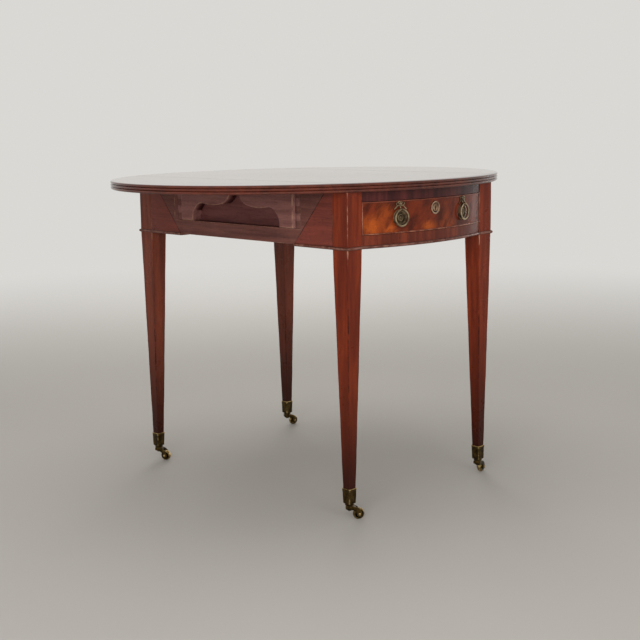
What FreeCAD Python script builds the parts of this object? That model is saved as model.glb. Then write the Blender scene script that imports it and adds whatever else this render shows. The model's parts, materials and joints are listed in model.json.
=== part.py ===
import FreeCAD, Part
import math
import os

V = FreeCAD.Vector

# Pembroke table, millimetres. X runs across the two flaps, Y along their hinge lines,
# the drawer opens towards -Y, and Z is up from the floor under the middle of the table.

# Overall
TABLE_HEIGHT = 712.0
FRAME_WIDTH = 480.0
FRAME_LENGTH = 696.0
FRIEZE_HEIGHT = 118.0
OVERRUN = 5.0

# Oval top with three reeds round its edge
TOP_HALF_WIDTH = 492.0
TOP_HALF_LENGTH = 403.0
TOP_THICK = 18.0
REED_COUNT = 3
REED_DEPTH = 2.4

# Rule joint between the fixed top and each flap
JOINT_OVERHANG = 8.0
RULE_STEP = 3.0
RULE_GAP = 0.3
PIN_LIFT = 3.5

# Iron table hinges let into the underside
HINGE_PLACES_SHARES = (-0.78, 0.0, 0.78)
HINGE_WIDTH = 38.0
FIXED_LEAF = 34.0
FLAP_LEAF = 52.0
LEAF_THICK = 2.0
KNUCKLE_RADIUS = 3.2
KNUCKLES = 3
KNUCKLE_SIDE_GAP = 0.2
HINGE_PIN_RADIUS = 1.5
HINGE_PIN_CLEAR = 0.05
HINGE_CLEAR = 0.3

# Tapered legs
LEG_SIDE = 43.0
LEG_FOOT = 19.5
LEG_OUTER_TAPER = 7.5

# Bead round the foot of the frieze
BEAD_HEIGHT = 7.0
BEAD_DEPTH = 3.2

# Sides: carcass rail, fly rail with its two brackets, veneered end blocks
FLY_RAIL_THICK = 25.0
SIDE_RAIL_LIFT = 6.0
FLY_RAIL_LIFT = 4.0
FLY_STRIP_HEIGHT = 33.0
END_BLOCK_FOOT = 113.0
END_BLOCK_HEAD = 19.0
BRACKET_HINGE_INSET = 8.0
BRACKET_TIP_GAP = 11.0
BRACKET_GAP = 0.4
BRACKET_TOP_GAP = 0.5
OGEE_REACH_SHARES = (0.286, 0.335, 0.466, 0.645, 0.820, 0.942)
OGEE_HEIGHT_SHARES = (0.0, 0.370, 0.519, 0.476, 0.519, 0.681)
BRACKET_KNUCKLE_RADIUS = 10.5
BRACKET_KNUCKLES = 5
BRACKET_KNUCKLE_GAP = 0.4
BRACKET_PIN_RADIUS = 2.5
BRACKET_PIN_CLEAR = 0.05
BRACKET_PIN_SEAT = 16.0
BRACKET_PIN_HEAD_GAP = 1.0

# Bowed ends: rails, drawer and matching dummy drawer
BOW_SAG = 32.0
RAIL_SETBACK = 1.5
BOTTOM_RAIL_HEIGHT = 27.5
TOP_RAIL_HEIGHT = 21.0
BOTTOM_RAIL_DEPTH = 76.0
TOP_RAIL_DEPTH = 62.0
DUMMY_DEPTH = 54.0

# Drawer
DRAWER_SIDE_GAP = 0.8
DRAWER_LOW_GAP = 0.5
DRAWER_HIGH_GAP = 0.7
DRAWER_FRONT_THICK = 20.0
DRAWER_ROOM_BEHIND = 84.5
DRAWER_LINING = 9.0
DRAWER_LINING_SETBACK = 2.0
DRAWER_SIDE_DROP = 8.3
DRAWER_BOTTOM_LIFT = 7.0
DRAWER_BOTTOM_THICK = 6.0
DRAWER_GROOVE = 4.0
COCK_BEAD_THICK = 3.0
COCK_BEAD_DEPTH = 7.0
COCK_BEAD_PROUD = 1.2
RUNNER_WIDTH = 21.0
RUNNER_HEIGHT = 15.0
KICKER_HEIGHT = 15.0
STOP_PLACE_X = 110.0
STOP_WIDTH = 30.0
STOP_DEPTH = 21.0
STOP_HEIGHT = 6.0
STOP_GAP = 0.6

# Lock in the drawer front
LOCK_WIDTH = 56.0
LOCK_DEPTH = 12.0
LOCK_HEIGHT = 39.0
LOCK_DROP = 3.3
BOLT_WIDTH = 20.0
BOLT_THICK = 6.0
BOLT_LENGTH = 24.0
BOLT_SINK = 0.4
BOLT_CLEAR = 0.3
BOLT_THROW = 8.0

# Keyhole plate
KEYHOLE_PLACE = 20.8
KEY_PLATE_RADIUS = 14.5
KEY_PLATE_THICK = 1.2
KEY_PLATE_RIM = 2.0
KEY_PLATE_RIM_RISE = 1.3
KEYHOLE_RADIUS = 2.2
KEYHOLE_SLOT = 2.6
KEYHOLE_DROP = 6.0

# Ring pulls with ribbon crests
PULL_X = 104.0
RING_PLACE = 36.3
RING_RADIUS = 17.0
RING_WIRE = 2.1
RING_STANDOFF = 6.6
EYE_RADIUS = 3.6
EYE_WIDTH = 4.0
EYE_CLEAR = 0.35
PULL_PLATE_RADIUS = 18.0
PULL_PLATE_SHARES = ((1.0, 0.40), (0.90, 0.65), (0.72, 0.65), (0.62, 0.40), (0.42, 0.40), (0.32, 0.90))
PULL_PLATE_RISE = 3.2
CREST_THICK = 2.2
CREST_RISE = 9.0
CREST_LOOP_X = 6.4
CREST_LOOP_LONG = 6.0
CREST_LOOP_SHORT = 3.7
CREST_LOOP_WALL = 1.8
CREST_LOOP_TILT = 24.0
CREST_KNOT_RADIUS = 2.8
CREST_KNOT_THICK = 3.2
CREST_STEM_WIDTH = 4.4

# Brass cup casters
CUP_WALL = 1.2
CUP_HEIGHT = 33.0
CUP_BASE = 4.0
CUP_RIM_HEIGHT = 4.0
CUP_RIM_PROUD = 0.6
CUP_NECK_RADIUS = 10.0
CUP_NECK_HEIGHT = 4.0
PINTLE_RADIUS = 3.5
PINTLE_CLEAR = 0.05
PINTLE_HEAD_RADIUS = 5.0
PINTLE_HEAD_HEIGHT = 2.2
PINTLE_HEAD_GAP = 0.4
HORN_GAP = 0.3
HORN_RADIUS = 8.5
HORN_HEIGHT = 9.5
WHEEL_RADIUS = 12.5
WHEEL_WIDTH = 11.0
WHEEL_ROUND = 2.5
WHEEL_SIDE_GAP = 0.3
WHEEL_TOP_GAP = 1.0
CHEEK_THICK = 3.0
AXLE_RADIUS = 2.2
AXLE_CLEAR = 0.05
AXLE_HEAD_RADIUS = 3.4
AXLE_HEAD_RISE = 1.0
AXLE_BOSS_RADIUS = 5.6
CASTER_HEAD = 12.0
TRAIL_CLEAR = 7.5
CASTER_ANGLES = {"front_left": -30.0, "front_right": 15.0, "back_left": -68.0, "back_right": -8.0}

# Worked out from the sizes above
UNDERSIDE = TABLE_HEIGHT - TOP_THICK
FRIEZE_BOTTOM = UNDERSIDE - FRIEZE_HEIGHT
PIN_Z = UNDERSIDE + PIN_LIFT
RULE_RADIUS = TOP_THICK - RULE_STEP - PIN_LIFT
HALF_WIDTH = FRAME_WIDTH / 2
HALF_LENGTH = FRAME_LENGTH / 2
JOINT_X = HALF_WIDTH + JOINT_OVERHANG
INNER_X = HALF_WIDTH - LEG_SIDE
INNER_Y = HALF_LENGTH - LEG_SIDE
SIDE_RAIL_BOTTOM = FRIEZE_BOTTOM + SIDE_RAIL_LIFT
FLY_RAIL_BOTTOM = FRIEZE_BOTTOM + FLY_RAIL_LIFT
FLY_STRIP_TOP = FLY_RAIL_BOTTOM + FLY_STRIP_HEIGHT
FLY_INNER_X = HALF_WIDTH - FLY_RAIL_THICK
FLY_AXIS_X = HALF_WIDTH - FLY_RAIL_THICK / 2
DIAGONAL_FOOT = INNER_Y - END_BLOCK_FOOT
DIAGONAL_HEAD = INNER_Y - END_BLOCK_HEAD
BRACKET_HINGE_Y = DIAGONAL_FOOT + BRACKET_HINGE_INSET
BRACKET_REACH = BRACKET_HINGE_Y - BRACKET_TIP_GAP
BRACKET_LOW = FLY_STRIP_TOP + BRACKET_GAP
BRACKET_HIGH = UNDERSIDE - BRACKET_TOP_GAP
JOINT_HALF_LENGTH = TOP_HALF_LENGTH * math.sqrt(1 - (JOINT_X / TOP_HALF_WIDTH) ** 2)
FACE_Y = -(HALF_LENGTH - RAIL_SETBACK + BOW_SAG)
BOW_RADIUS = (INNER_X ** 2 + BOW_SAG ** 2) / (2 * BOW_SAG)
BOW_CENTRE_Y = FACE_Y + BOW_RADIUS
BOTTOM_RAIL_TOP = FRIEZE_BOTTOM + BOTTOM_RAIL_HEIGHT
TOP_RAIL_BOTTOM = UNDERSIDE - TOP_RAIL_HEIGHT
DRAWER_LOW = BOTTOM_RAIL_TOP + DRAWER_LOW_GAP
DRAWER_HIGH = TOP_RAIL_BOTTOM - DRAWER_HIGH_GAP
DRAWER_SIDE_TOP = DRAWER_HIGH - DRAWER_SIDE_DROP
DRAWER_BOTTOM_LOW = DRAWER_LOW + DRAWER_BOTTOM_LIFT
DRAWER_BACK_Y = -FACE_Y - DUMMY_DEPTH - DRAWER_ROOM_BEHIND
LOCK_HIGH = DRAWER_HIGH - LOCK_DROP
LOCK_LOW = LOCK_HIGH - LOCK_HEIGHT
KEYHOLE_Z = DRAWER_HIGH - KEYHOLE_PLACE
RING_Z = DRAWER_HIGH - RING_PLACE
DRAWER_HALF = INNER_X - DRAWER_SIDE_GAP
PULL_ANGLE = math.degrees(math.asin(PULL_X / BOW_RADIUS))
RING_TOP_Z = RING_Z + RING_RADIUS
CUP_BOTTOM = 2 * WHEEL_RADIUS + CASTER_HEAD
CUP_FLOOR = CUP_BOTTOM + CUP_BASE
CUP_TOP = CUP_BOTTOM + CUP_HEIGHT
CASTER_TRAIL = WHEEL_RADIUS + TRAIL_CLEAR
CORNERS = ("front_left", "front_right", "back_left", "back_right")


# General helpers

def box(x0, x1, y0, y1, z0, z1):
    """Block between two corners."""
    return Part.makeBox(x1 - x0, y1 - y0, z1 - z0, V(x0, y0, z0))


def rod(radius, start, direction, length):
    """Cylinder from a start point along a direction."""
    return Part.makeCylinder(radius, length, start, direction)


def prism(points, sweep):
    """Closed polygon carried along a vector."""
    wire = Part.makePolygon(points + [points[0]])
    return Part.Face(wire).extrude(sweep)


def turned(points, centre, axis):
    """Closed polygon turned once round an axis."""
    wire = Part.makePolygon(points + [points[0]])
    return Part.Face(wire).revolve(centre, axis, 360)


def mirror_x(shape):
    """Copy on the other side of the middle, left to right."""
    return shape.mirror(V(0, 0, 0), V(1, 0, 0))


def mirror_y(shape):
    """Copy on the other side of the middle, front to back."""
    return shape.mirror(V(0, 0, 0), V(0, 1, 0))


def at_corner(shape, corner):
    """A front left piece, mirrored to the named corner."""
    if "right" in corner:
        shape = mirror_x(shape)
    if "back" in corner:
        shape = mirror_y(shape)
    return shape


def corner_signs(corner):
    """Signs of X and Y at the named corner."""
    return (1 if "right" in corner else -1, -1 if "front" in corner else 1)


def group(shapes):
    """Separate solids kept together under one name."""
    return Part.makeCompound(shapes)


def save(name, shape):
    """Write one named piece and report its solids and volume."""
    if not shape.isValid():
        raise ValueError("not a valid shape: " + name)
    shape.exportStep("parts/" + name + ".step")
    print("%-32s solids %2d volume %.0f" % (name, len(shape.Solids), shape.Volume))


# Oval top, rule joints and flaps

def oval_board():
    """Disc with a reeded edge, turned on a lathe, stretched into the oval and planed to thickness."""
    reed = TOP_THICK / REED_COUNT
    root = TOP_HALF_LENGTH - REED_DEPTH
    low_end = UNDERSIDE - OVERRUN
    high_end = TABLE_HEIGHT + OVERRUN
    edges = [Part.makeLine(V(0, 0, low_end), V(root, 0, low_end)),
             Part.makeLine(V(root, 0, low_end), V(root, 0, UNDERSIDE))]
    for index in range(REED_COUNT):
        low = UNDERSIDE + index * reed
        crest = V(TOP_HALF_LENGTH, 0, low + reed / 2)
        edges.append(Part.Arc(V(root, 0, low), crest, V(root, 0, low + reed)).toShape())
    edges.append(Part.makeLine(V(root, 0, TABLE_HEIGHT), V(root, 0, high_end)))
    edges.append(Part.makeLine(V(root, 0, high_end), V(0, 0, high_end)))
    edges.append(Part.makeLine(V(0, 0, high_end), V(0, 0, low_end)))
    disc = Part.Face(Part.Wire(edges)).revolve(V(0, 0, 0), V(0, 0, 1), 360)
    stretch = FreeCAD.Matrix()
    stretch.scale(V(TOP_HALF_WIDTH / TOP_HALF_LENGTH, 1, 1))
    far = TOP_HALF_WIDTH + OVERRUN
    reach = TOP_HALF_LENGTH + OVERRUN
    slab = box(-far, far, -reach, reach, UNDERSIDE, TABLE_HEIGHT)
    return slab.common(disc.transformGeometry(stretch))


def rule_rod(radius):
    """Round of the right hand rule joint, the full length of the joint."""
    reach = TOP_HALF_LENGTH + OVERRUN
    return rod(radius, V(JOINT_X, -reach, PIN_Z), V(0, 1, 0), 2 * reach)


def hinge_places():
    """Middle of each hinge along the joint."""
    return [share * JOINT_HALF_LENGTH for share in HINGE_PLACES_SHARES]


def hinge_sinking(y):
    """Room in the underside of the fixed top for the right hand hinge at y."""
    low = UNDERSIDE - OVERRUN
    half = HINGE_WIDTH / 2
    leaf_top = PIN_Z - KNUCKLE_RADIUS + LEAF_THICK
    barrel = KNUCKLE_RADIUS + HINGE_CLEAR
    side = half + HINGE_CLEAR
    fixed = box(JOINT_X - FIXED_LEAF, JOINT_X, y - half, y + half, low, leaf_top)
    mortise = box(JOINT_X - barrel, JOINT_X + barrel, y - side, y + side, low, PIN_Z + barrel)
    path = box(JOINT_X, JOINT_X + RULE_RADIUS + OVERRUN, y - side, y + side, low, leaf_top + HINGE_CLEAR)
    return fixed.fuse([mortise, path])


def make_fixed_top(board):
    """Middle of the oval, with the convex half of each rule joint and the hinge sinkings."""
    reach = TOP_HALF_LENGTH + OVERRUN
    middle = box(-JOINT_X, JOINT_X, -reach, reach, UNDERSIDE - OVERRUN, TABLE_HEIGHT + OVERRUN)
    body = middle.fuse([rule_rod(RULE_RADIUS), mirror_x(rule_rod(RULE_RADIUS))])
    top = board.common(body)
    for y in hinge_places():
        top = top.cut(hinge_sinking(y))
        top = top.cut(mirror_x(hinge_sinking(y)))
    return top.removeSplitter()


def make_right_flap(board):
    """Outer part of the oval, with the hollow half of the rule joint."""
    reach = TOP_HALF_LENGTH + OVERRUN
    far = TOP_HALF_WIDTH + OVERRUN
    outer = box(JOINT_X + RULE_GAP, far, -reach, reach, UNDERSIDE - OVERRUN, TABLE_HEIGHT + OVERRUN)
    flap = board.common(outer).cut(rule_rod(RULE_RADIUS + RULE_GAP))
    leaf_top = PIN_Z - KNUCKLE_RADIUS + LEAF_THICK
    half = HINGE_WIDTH / 2
    for y in hinge_places():
        seat = box(JOINT_X, JOINT_X + FLAP_LEAF, y - half, y + half, UNDERSIDE - OVERRUN, leaf_top)
        flap = flap.cut(seat)
    return flap.removeSplitter()


def knuckle_spans(y):
    """Start and end of each knuckle of the hinge at y."""
    step = HINGE_WIDTH / KNUCKLES
    start = y - HINGE_WIDTH / 2
    return [(start + index * step, start + (index + 1) * step) for index in range(KNUCKLES)]


def hinge_leaf(y, length, own):
    """Leaf of a right hand hinge with its knuckles; own is 0 for the outer knuckles and 1 for the middle."""
    low = PIN_Z - KNUCKLE_RADIUS
    far = JOINT_X + length
    notch = KNUCKLE_RADIUS + HINGE_CLEAR
    half = HINGE_WIDTH / 2
    leaf = box(min(JOINT_X, far), max(JOINT_X, far), y - half, y + half, low, low + LEAF_THICK)
    barrel = KNUCKLE_RADIUS + OVERRUN
    for index, (start, end) in enumerate(knuckle_spans(y)):
        if index % 2 == own:
            start = start + KNUCKLE_SIDE_GAP
            end = end - KNUCKLE_SIDE_GAP
            leaf = leaf.fuse(rod(KNUCKLE_RADIUS, V(JOINT_X, start, PIN_Z), V(0, 1, 0), end - start))
        else:
            start = start - KNUCKLE_SIDE_GAP
            end = end + KNUCKLE_SIDE_GAP
            leaf = leaf.cut(box(JOINT_X - notch, JOINT_X + notch, start, end, PIN_Z - barrel, PIN_Z + barrel))
    bore = HINGE_PIN_RADIUS + HINGE_PIN_CLEAR
    leaf = leaf.cut(rod(bore, V(JOINT_X, y - half - OVERRUN, PIN_Z), V(0, 1, 0), HINGE_WIDTH + 2 * OVERRUN))
    return leaf.removeSplitter()


def make_hinges():
    """Leaves on the fixed top, leaves on the right hand flap, and the pins of every hinge."""
    fixed = [hinge_leaf(y, -FIXED_LEAF, 0) for y in hinge_places()]
    flap = [hinge_leaf(y, FLAP_LEAF, 1) for y in hinge_places()]
    half = HINGE_WIDTH / 2
    along = V(0, 1, 0)
    pins = [rod(HINGE_PIN_RADIUS, V(JOINT_X, y - half, PIN_Z), along, HINGE_WIDTH) for y in hinge_places()]
    return fixed, flap, pins


# Legs and bead

def leg_section(z, grow):
    """Square of the front left leg at height z, grown by a wall all round."""
    share = (FRIEZE_BOTTOM - z) / (FRIEZE_BOTTOM - CUP_TOP)
    side = LEG_SIDE - share * (LEG_SIDE - LEG_FOOT)
    x0 = -HALF_WIDTH + share * LEG_OUTER_TAPER - grow
    y0 = -HALF_LENGTH + share * LEG_OUTER_TAPER - grow
    x1 = x0 + side + 2 * grow
    y1 = y0 + side + 2 * grow
    return Part.makePolygon([V(x0, y0, z), V(x1, y0, z), V(x1, y1, z), V(x0, y1, z), V(x0, y0, z)])


def leg_taper(low, high, grow):
    """Tapered length of the front left leg between two heights."""
    return Part.makeLoft([leg_section(low, grow), leg_section(high, grow)], True, True)


def make_leg():
    """Front left leg: square head between the rails, then a taper down into its cup."""
    head = box(-HALF_WIDTH, -INNER_X, -HALF_LENGTH, -INNER_Y, FRIEZE_BOTTOM, UNDERSIDE)
    return head.fuse(leg_taper(CUP_FLOOR, FRIEZE_BOTTOM, 0)).removeSplitter()


def bead_section(x, y, out):
    """Half round of the bead on a face, pointing along out."""
    low = V(x, y, FRIEZE_BOTTOM)
    high = V(x, y, FRIEZE_BOTTOM + BEAD_HEIGHT)
    crest = V(x, y, FRIEZE_BOTTOM + BEAD_HEIGHT / 2) + out * BEAD_DEPTH
    return Part.Face(Part.Wire([Part.Arc(low, crest, high).toShape(), Part.makeLine(high, low)]))


def make_leg_bead():
    """Bead on the two outer faces of the front left leg, mitred at the corner."""
    run = LEG_SIDE + BEAD_DEPTH
    side = bead_section(-HALF_WIDTH, -INNER_Y, V(-1, 0, 0)).extrude(V(0, -run, 0))
    front = bead_section(-INNER_X, -HALF_LENGTH, V(0, -1, 0)).extrude(V(-run, 0, 0))
    corner = V(-HALF_WIDTH, -HALF_LENGTH, FRIEZE_BOTTOM - OVERRUN)
    reach = BEAD_DEPTH + OVERRUN
    height = V(0, 0, BEAD_HEIGHT + 2 * OVERRUN)
    front_half = prism([corner, corner + V(-reach, -reach, 0), corner + V(0, -reach, 0)], height)
    side_half = prism([corner, corner + V(-reach, 0, 0), corner + V(-reach, -reach, 0)], height)
    return side.cut(front_half).fuse(front.cut(side_half)).removeSplitter()


def make_side_bead():
    """Bead along the foot of the front left end block."""
    return bead_section(-HALF_WIDTH, -INNER_Y, V(-1, 0, 0)).extrude(V(0, INNER_Y - DIAGONAL_FOOT, 0))


# Sides with their fly brackets

def side_board(points):
    """Outline in Y and Z carried through the thickness of the left hand fly rail."""
    outline = [V(-HALF_WIDTH, y, z) for y, z in points]
    return prism(outline, V(FLY_RAIL_THICK, 0, 0))


def diagonal_y(z):
    """Distance from the middle of the side to the slanting joint at height z."""
    share = (z - FLY_RAIL_BOTTOM) / (UNDERSIDE - FLY_RAIL_BOTTOM)
    return DIAGONAL_FOOT + share * (DIAGONAL_HEAD - DIAGONAL_FOOT)


def make_end_block():
    """Veneered block between the front left leg and the slanting end of the fly rail."""
    return side_board([(-INNER_Y, FRIEZE_BOTTOM), (-DIAGONAL_FOOT, FRIEZE_BOTTOM),
                       (-DIAGONAL_FOOT, FLY_RAIL_BOTTOM), (-DIAGONAL_HEAD, UNDERSIDE), (-INNER_Y, UNDERSIDE)])


def bracket_spans():
    """Low and high of each wooden knuckle, from the strip up."""
    step = (BRACKET_HIGH - BRACKET_LOW) / BRACKET_KNUCKLES
    return [(BRACKET_LOW + i * step, BRACKET_LOW + (i + 1) * step) for i in range(BRACKET_KNUCKLES)]


def axis_rod(radius, low, high):
    """Upright round on the hinge line of the front left bracket."""
    return rod(radius, V(-FLY_AXIS_X, -BRACKET_HINGE_Y, low), V(0, 0, 1), high - low)


def knuckled(board, own):
    """Give a board its wooden knuckles; own is 0 for the rail and 1 for the bracket."""
    for index, (low, high) in enumerate(bracket_spans()):
        if index % 2 == own:
            board = board.fuse(axis_rod(BRACKET_KNUCKLE_RADIUS, low, high - BRACKET_KNUCKLE_GAP))
        else:
            room = BRACKET_KNUCKLE_RADIUS + BRACKET_KNUCKLE_GAP
            board = board.cut(axis_rod(room, low - BRACKET_KNUCKLE_GAP, high))
    return board


def bevel(sign):
    """Wedge outside the knuckle that lets the bracket swing square; sign is +1 on the bracket side."""
    half = FLY_RAIL_THICK / 2
    slack = sign * BRACKET_GAP
    reach = half + OVERRUN
    inner = V(-FLY_AXIS_X, -BRACKET_HINGE_Y + slack, BRACKET_LOW - BRACKET_GAP)
    points = [inner, inner + V(-reach, sign * reach, 0), inner + V(-reach, -sign * reach, 0),
              inner + V(0, -sign * reach, 0)]
    return prism(points, V(0, 0, BRACKET_HIGH + OVERRUN - BRACKET_LOW))


def make_bracket():
    """Front left fly bracket: full height at the knuckle, then a hollow and a long ogee to the tip."""
    height = BRACKET_HIGH - BRACKET_LOW
    root_y = -BRACKET_HINGE_Y + BRACKET_GAP
    x = -HALF_WIDTH
    places = [V(x, -BRACKET_HINGE_Y + reach * BRACKET_REACH, BRACKET_LOW + rise * height)
              for reach, rise in zip(OGEE_REACH_SHARES, OGEE_HEIGHT_SHARES)]
    low_end, hollow, cusp, belly, turn, swell = places
    low_root = V(x, root_y, BRACKET_LOW)
    tip = V(x, -BRACKET_HINGE_Y + BRACKET_REACH, BRACKET_HIGH)
    high_root = V(x, root_y, BRACKET_HIGH)
    edges = [Part.makeLine(low_root, low_end), Part.Arc(low_end, hollow, cusp).toShape(),
             Part.Arc(cusp, belly, turn).toShape(), Part.Arc(turn, swell, tip).toShape(),
             Part.makeLine(tip, high_root), Part.makeLine(high_root, low_root)]
    blank = Part.Face(Part.Wire(edges)).extrude(V(FLY_RAIL_THICK - BRACKET_GAP, 0, 0))
    bracket = knuckled(blank.cut(bevel(1)), 1)
    bore = axis_rod(BRACKET_PIN_RADIUS + BRACKET_PIN_CLEAR, BRACKET_LOW - OVERRUN, BRACKET_HIGH + OVERRUN)
    return bracket.cut(bore).removeSplitter()


def make_fly_rail():
    """Left hand fly rail: a low strip with an upright slanted end at each knuckle."""
    low = diagonal_y(FLY_RAIL_BOTTOM)
    high = diagonal_y(UNDERSIDE)
    half = [(0, FLY_RAIL_BOTTOM), (-low, FLY_RAIL_BOTTOM), (-high, UNDERSIDE), (-BRACKET_HINGE_Y, UNDERSIDE),
            (-BRACKET_HINGE_Y, FLY_STRIP_TOP), (0, FLY_STRIP_TOP)]
    front = knuckled(side_board(half).cut(bevel(-1)), 0)
    pin_low = FLY_STRIP_TOP - BRACKET_PIN_SEAT
    bore = axis_rod(BRACKET_PIN_RADIUS + BRACKET_PIN_CLEAR, pin_low, UNDERSIDE + OVERRUN)
    front = front.cut(bore)
    return front.fuse(mirror_y(front)).removeSplitter()


def make_bracket_pin():
    """Wire pin down through the front left knuckles into the strip."""
    return axis_rod(BRACKET_PIN_RADIUS, FLY_STRIP_TOP - BRACKET_PIN_SEAT, UNDERSIDE - BRACKET_PIN_HEAD_GAP)


def make_side_rail():
    """Left hand carcass rail behind the fly rail."""
    return box(-FLY_INNER_X, -INNER_X, -INNER_Y, INNER_Y, SIDE_RAIL_BOTTOM, UNDERSIDE)


# Bowed ends

def bow_y(x, inset):
    """Y of the bowed face at x, set in by inset."""
    return BOW_CENTRE_Y - math.sqrt((BOW_RADIUS - inset) ** 2 - x ** 2)


def bow_arc(half, inset):
    """Bowed line from -half to +half, set in by inset."""
    side = bow_y(half, inset)
    return Part.Arc(V(-half, side, 0), V(0, bow_y(0, inset), 0), V(half, side, 0)).toShape()


def bowed_block(half, depth, low, high):
    """Rail with a bowed face and a flat back, depth behind the crown of the bow."""
    side = bow_y(half, 0)
    back = FACE_Y + depth
    edges = [bow_arc(half, 0), Part.makeLine(V(half, side, 0), V(half, back, 0)),
             Part.makeLine(V(half, back, 0), V(-half, back, 0)),
             Part.makeLine(V(-half, back, 0), V(-half, side, 0))]
    block = Part.Face(Part.Wire(edges)).extrude(V(0, 0, high - low))
    return block.translated(V(0, 0, low))


def bowed_board(half, front, back, low, high):
    """Curved board between two insets of the bow."""
    front_side = bow_y(half, front)
    back_side = bow_y(half, back)
    edges = [bow_arc(half, front), Part.makeLine(V(half, front_side, 0), V(half, back_side, 0)),
             bow_arc(half, back), Part.makeLine(V(-half, back_side, 0), V(-half, front_side, 0))]
    face = Part.Face(Part.Wire(Part.__sortEdges__(edges)))
    return face.extrude(V(0, 0, high - low)).translated(V(0, 0, low))


def make_bowed_bead():
    """Bead along the foot of the front bottom rail, turned about the middle of the bow."""
    section = bead_section(0, FACE_Y, V(0, -1, 0))
    spread = math.degrees(math.asin(INNER_X / BOW_RADIUS))
    section.rotate(V(0, BOW_CENTRE_Y, 0), V(0, 0, 1), -spread)
    strip = section.revolve(V(0, BOW_CENTRE_Y, 0), V(0, 0, 1), 2 * spread)
    reach = HALF_LENGTH + BOW_SAG + OVERRUN
    return strip.common(box(-INNER_X, INNER_X, -reach, 0, FRIEZE_BOTTOM, UNDERSIDE))


def bolt_block(grow, low, high):
    """Room that the lock bolt takes up, grown by a clearance."""
    half = BOLT_WIDTH / 2 + grow
    middle = FACE_Y + DRAWER_FRONT_THICK - LOCK_DEPTH / 2
    thick = BOLT_THICK / 2 + grow
    return box(-half, half, middle - thick, middle + thick, low, high)


def make_front_rails():
    """Top rail with the mortise for the lock bolt, and bottom rail."""
    top = bowed_block(INNER_X, TOP_RAIL_DEPTH, TOP_RAIL_BOTTOM, UNDERSIDE)
    mortise = bolt_block(BOLT_CLEAR, TOP_RAIL_BOTTOM - OVERRUN, TOP_RAIL_BOTTOM + BOLT_THROW)
    bottom = bowed_block(INNER_X, BOTTOM_RAIL_DEPTH, FRIEZE_BOTTOM, BOTTOM_RAIL_TOP)
    return top.cut(mortise), bottom


def make_back_panels():
    """Top rail, bottom rail and dummy drawer front at the back."""
    top = bowed_block(INNER_X, TOP_RAIL_DEPTH, TOP_RAIL_BOTTOM, UNDERSIDE)
    bottom = bowed_block(INNER_X, BOTTOM_RAIL_DEPTH, FRIEZE_BOTTOM, BOTTOM_RAIL_TOP)
    dummy = bowed_block(INNER_X, DUMMY_DEPTH, BOTTOM_RAIL_TOP, TOP_RAIL_BOTTOM)
    return mirror_y(top), mirror_y(bottom), mirror_y(dummy.cut(cock_bead_room(INNER_X, BOTTOM_RAIL_TOP,
                                                                              TOP_RAIL_BOTTOM)))


def cock_bead_strips(half, low, high):
    """Thin beads round a drawer front: two bowed rails and two uprights."""
    front = -COCK_BEAD_PROUD
    inner = half - COCK_BEAD_THICK
    rails = [bowed_board(half, front, COCK_BEAD_DEPTH, low, low + COCK_BEAD_THICK),
             bowed_board(half, front, COCK_BEAD_DEPTH, high - COCK_BEAD_THICK, high)]
    frame = bowed_board(half, front, COCK_BEAD_DEPTH, low + COCK_BEAD_THICK, high - COCK_BEAD_THICK)
    reach = HALF_LENGTH + BOW_SAG + OVERRUN
    uprights = [frame.common(box(inner, half, -reach, 0, low, high)),
                frame.common(box(-half, -inner, -reach, 0, low, high))]
    return rails + uprights


def cock_bead_room(half, low, high):
    """Rebate for the beads."""
    strips = cock_bead_strips(half, low, high)
    return strips[0].fuse(strips[1:])


# Drawer

def make_drawer_front():
    """Bowed front with its rebates, the lock's seat, the bolt's slot and the keyhole."""
    front = bowed_board(DRAWER_HALF, 0, DRAWER_FRONT_THICK, DRAWER_LOW, DRAWER_HIGH)
    front = front.cut(cock_bead_room(DRAWER_HALF, DRAWER_LOW, DRAWER_HIGH))
    front = front.cut(lock_block(LOCK_LOW, LOCK_HIGH))
    front = front.cut(bolt_block(BOLT_CLEAR, LOCK_HIGH - OVERRUN, DRAWER_HIGH + OVERRUN))
    return front.cut(keyhole(FACE_Y - OVERRUN, FACE_Y + DRAWER_FRONT_THICK - LOCK_DEPTH))


def lock_block(low, high):
    """Outer shape of the lock, let into the inside of the drawer front."""
    half = LOCK_WIDTH / 2
    back = FACE_Y + DRAWER_FRONT_THICK
    return box(-half, half, back - LOCK_DEPTH, bow_y(half, DRAWER_FRONT_THICK), low, high)


def keyhole(start, end):
    """Round hole with a slot below it, through from start to end in Y."""
    hole = rod(KEYHOLE_RADIUS, V(0, start, KEYHOLE_Z), V(0, 1, 0), end - start)
    half = KEYHOLE_SLOT / 2
    slot = box(-half, half, start, end, KEYHOLE_Z - KEYHOLE_DROP, KEYHOLE_Z)
    return hole.fuse(slot)


def make_lock():
    """Iron lock case with its slot for the bolt, and the bolt."""
    case = lock_block(LOCK_LOW, LOCK_HIGH)
    bolt_low = DRAWER_HIGH - BOLT_SINK - BOLT_LENGTH
    case = case.cut(bolt_block(BOLT_CLEAR, bolt_low - BOLT_CLEAR, LOCK_HIGH + OVERRUN))
    return case, bolt_block(0, bolt_low, DRAWER_HIGH - BOLT_SINK)


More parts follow.
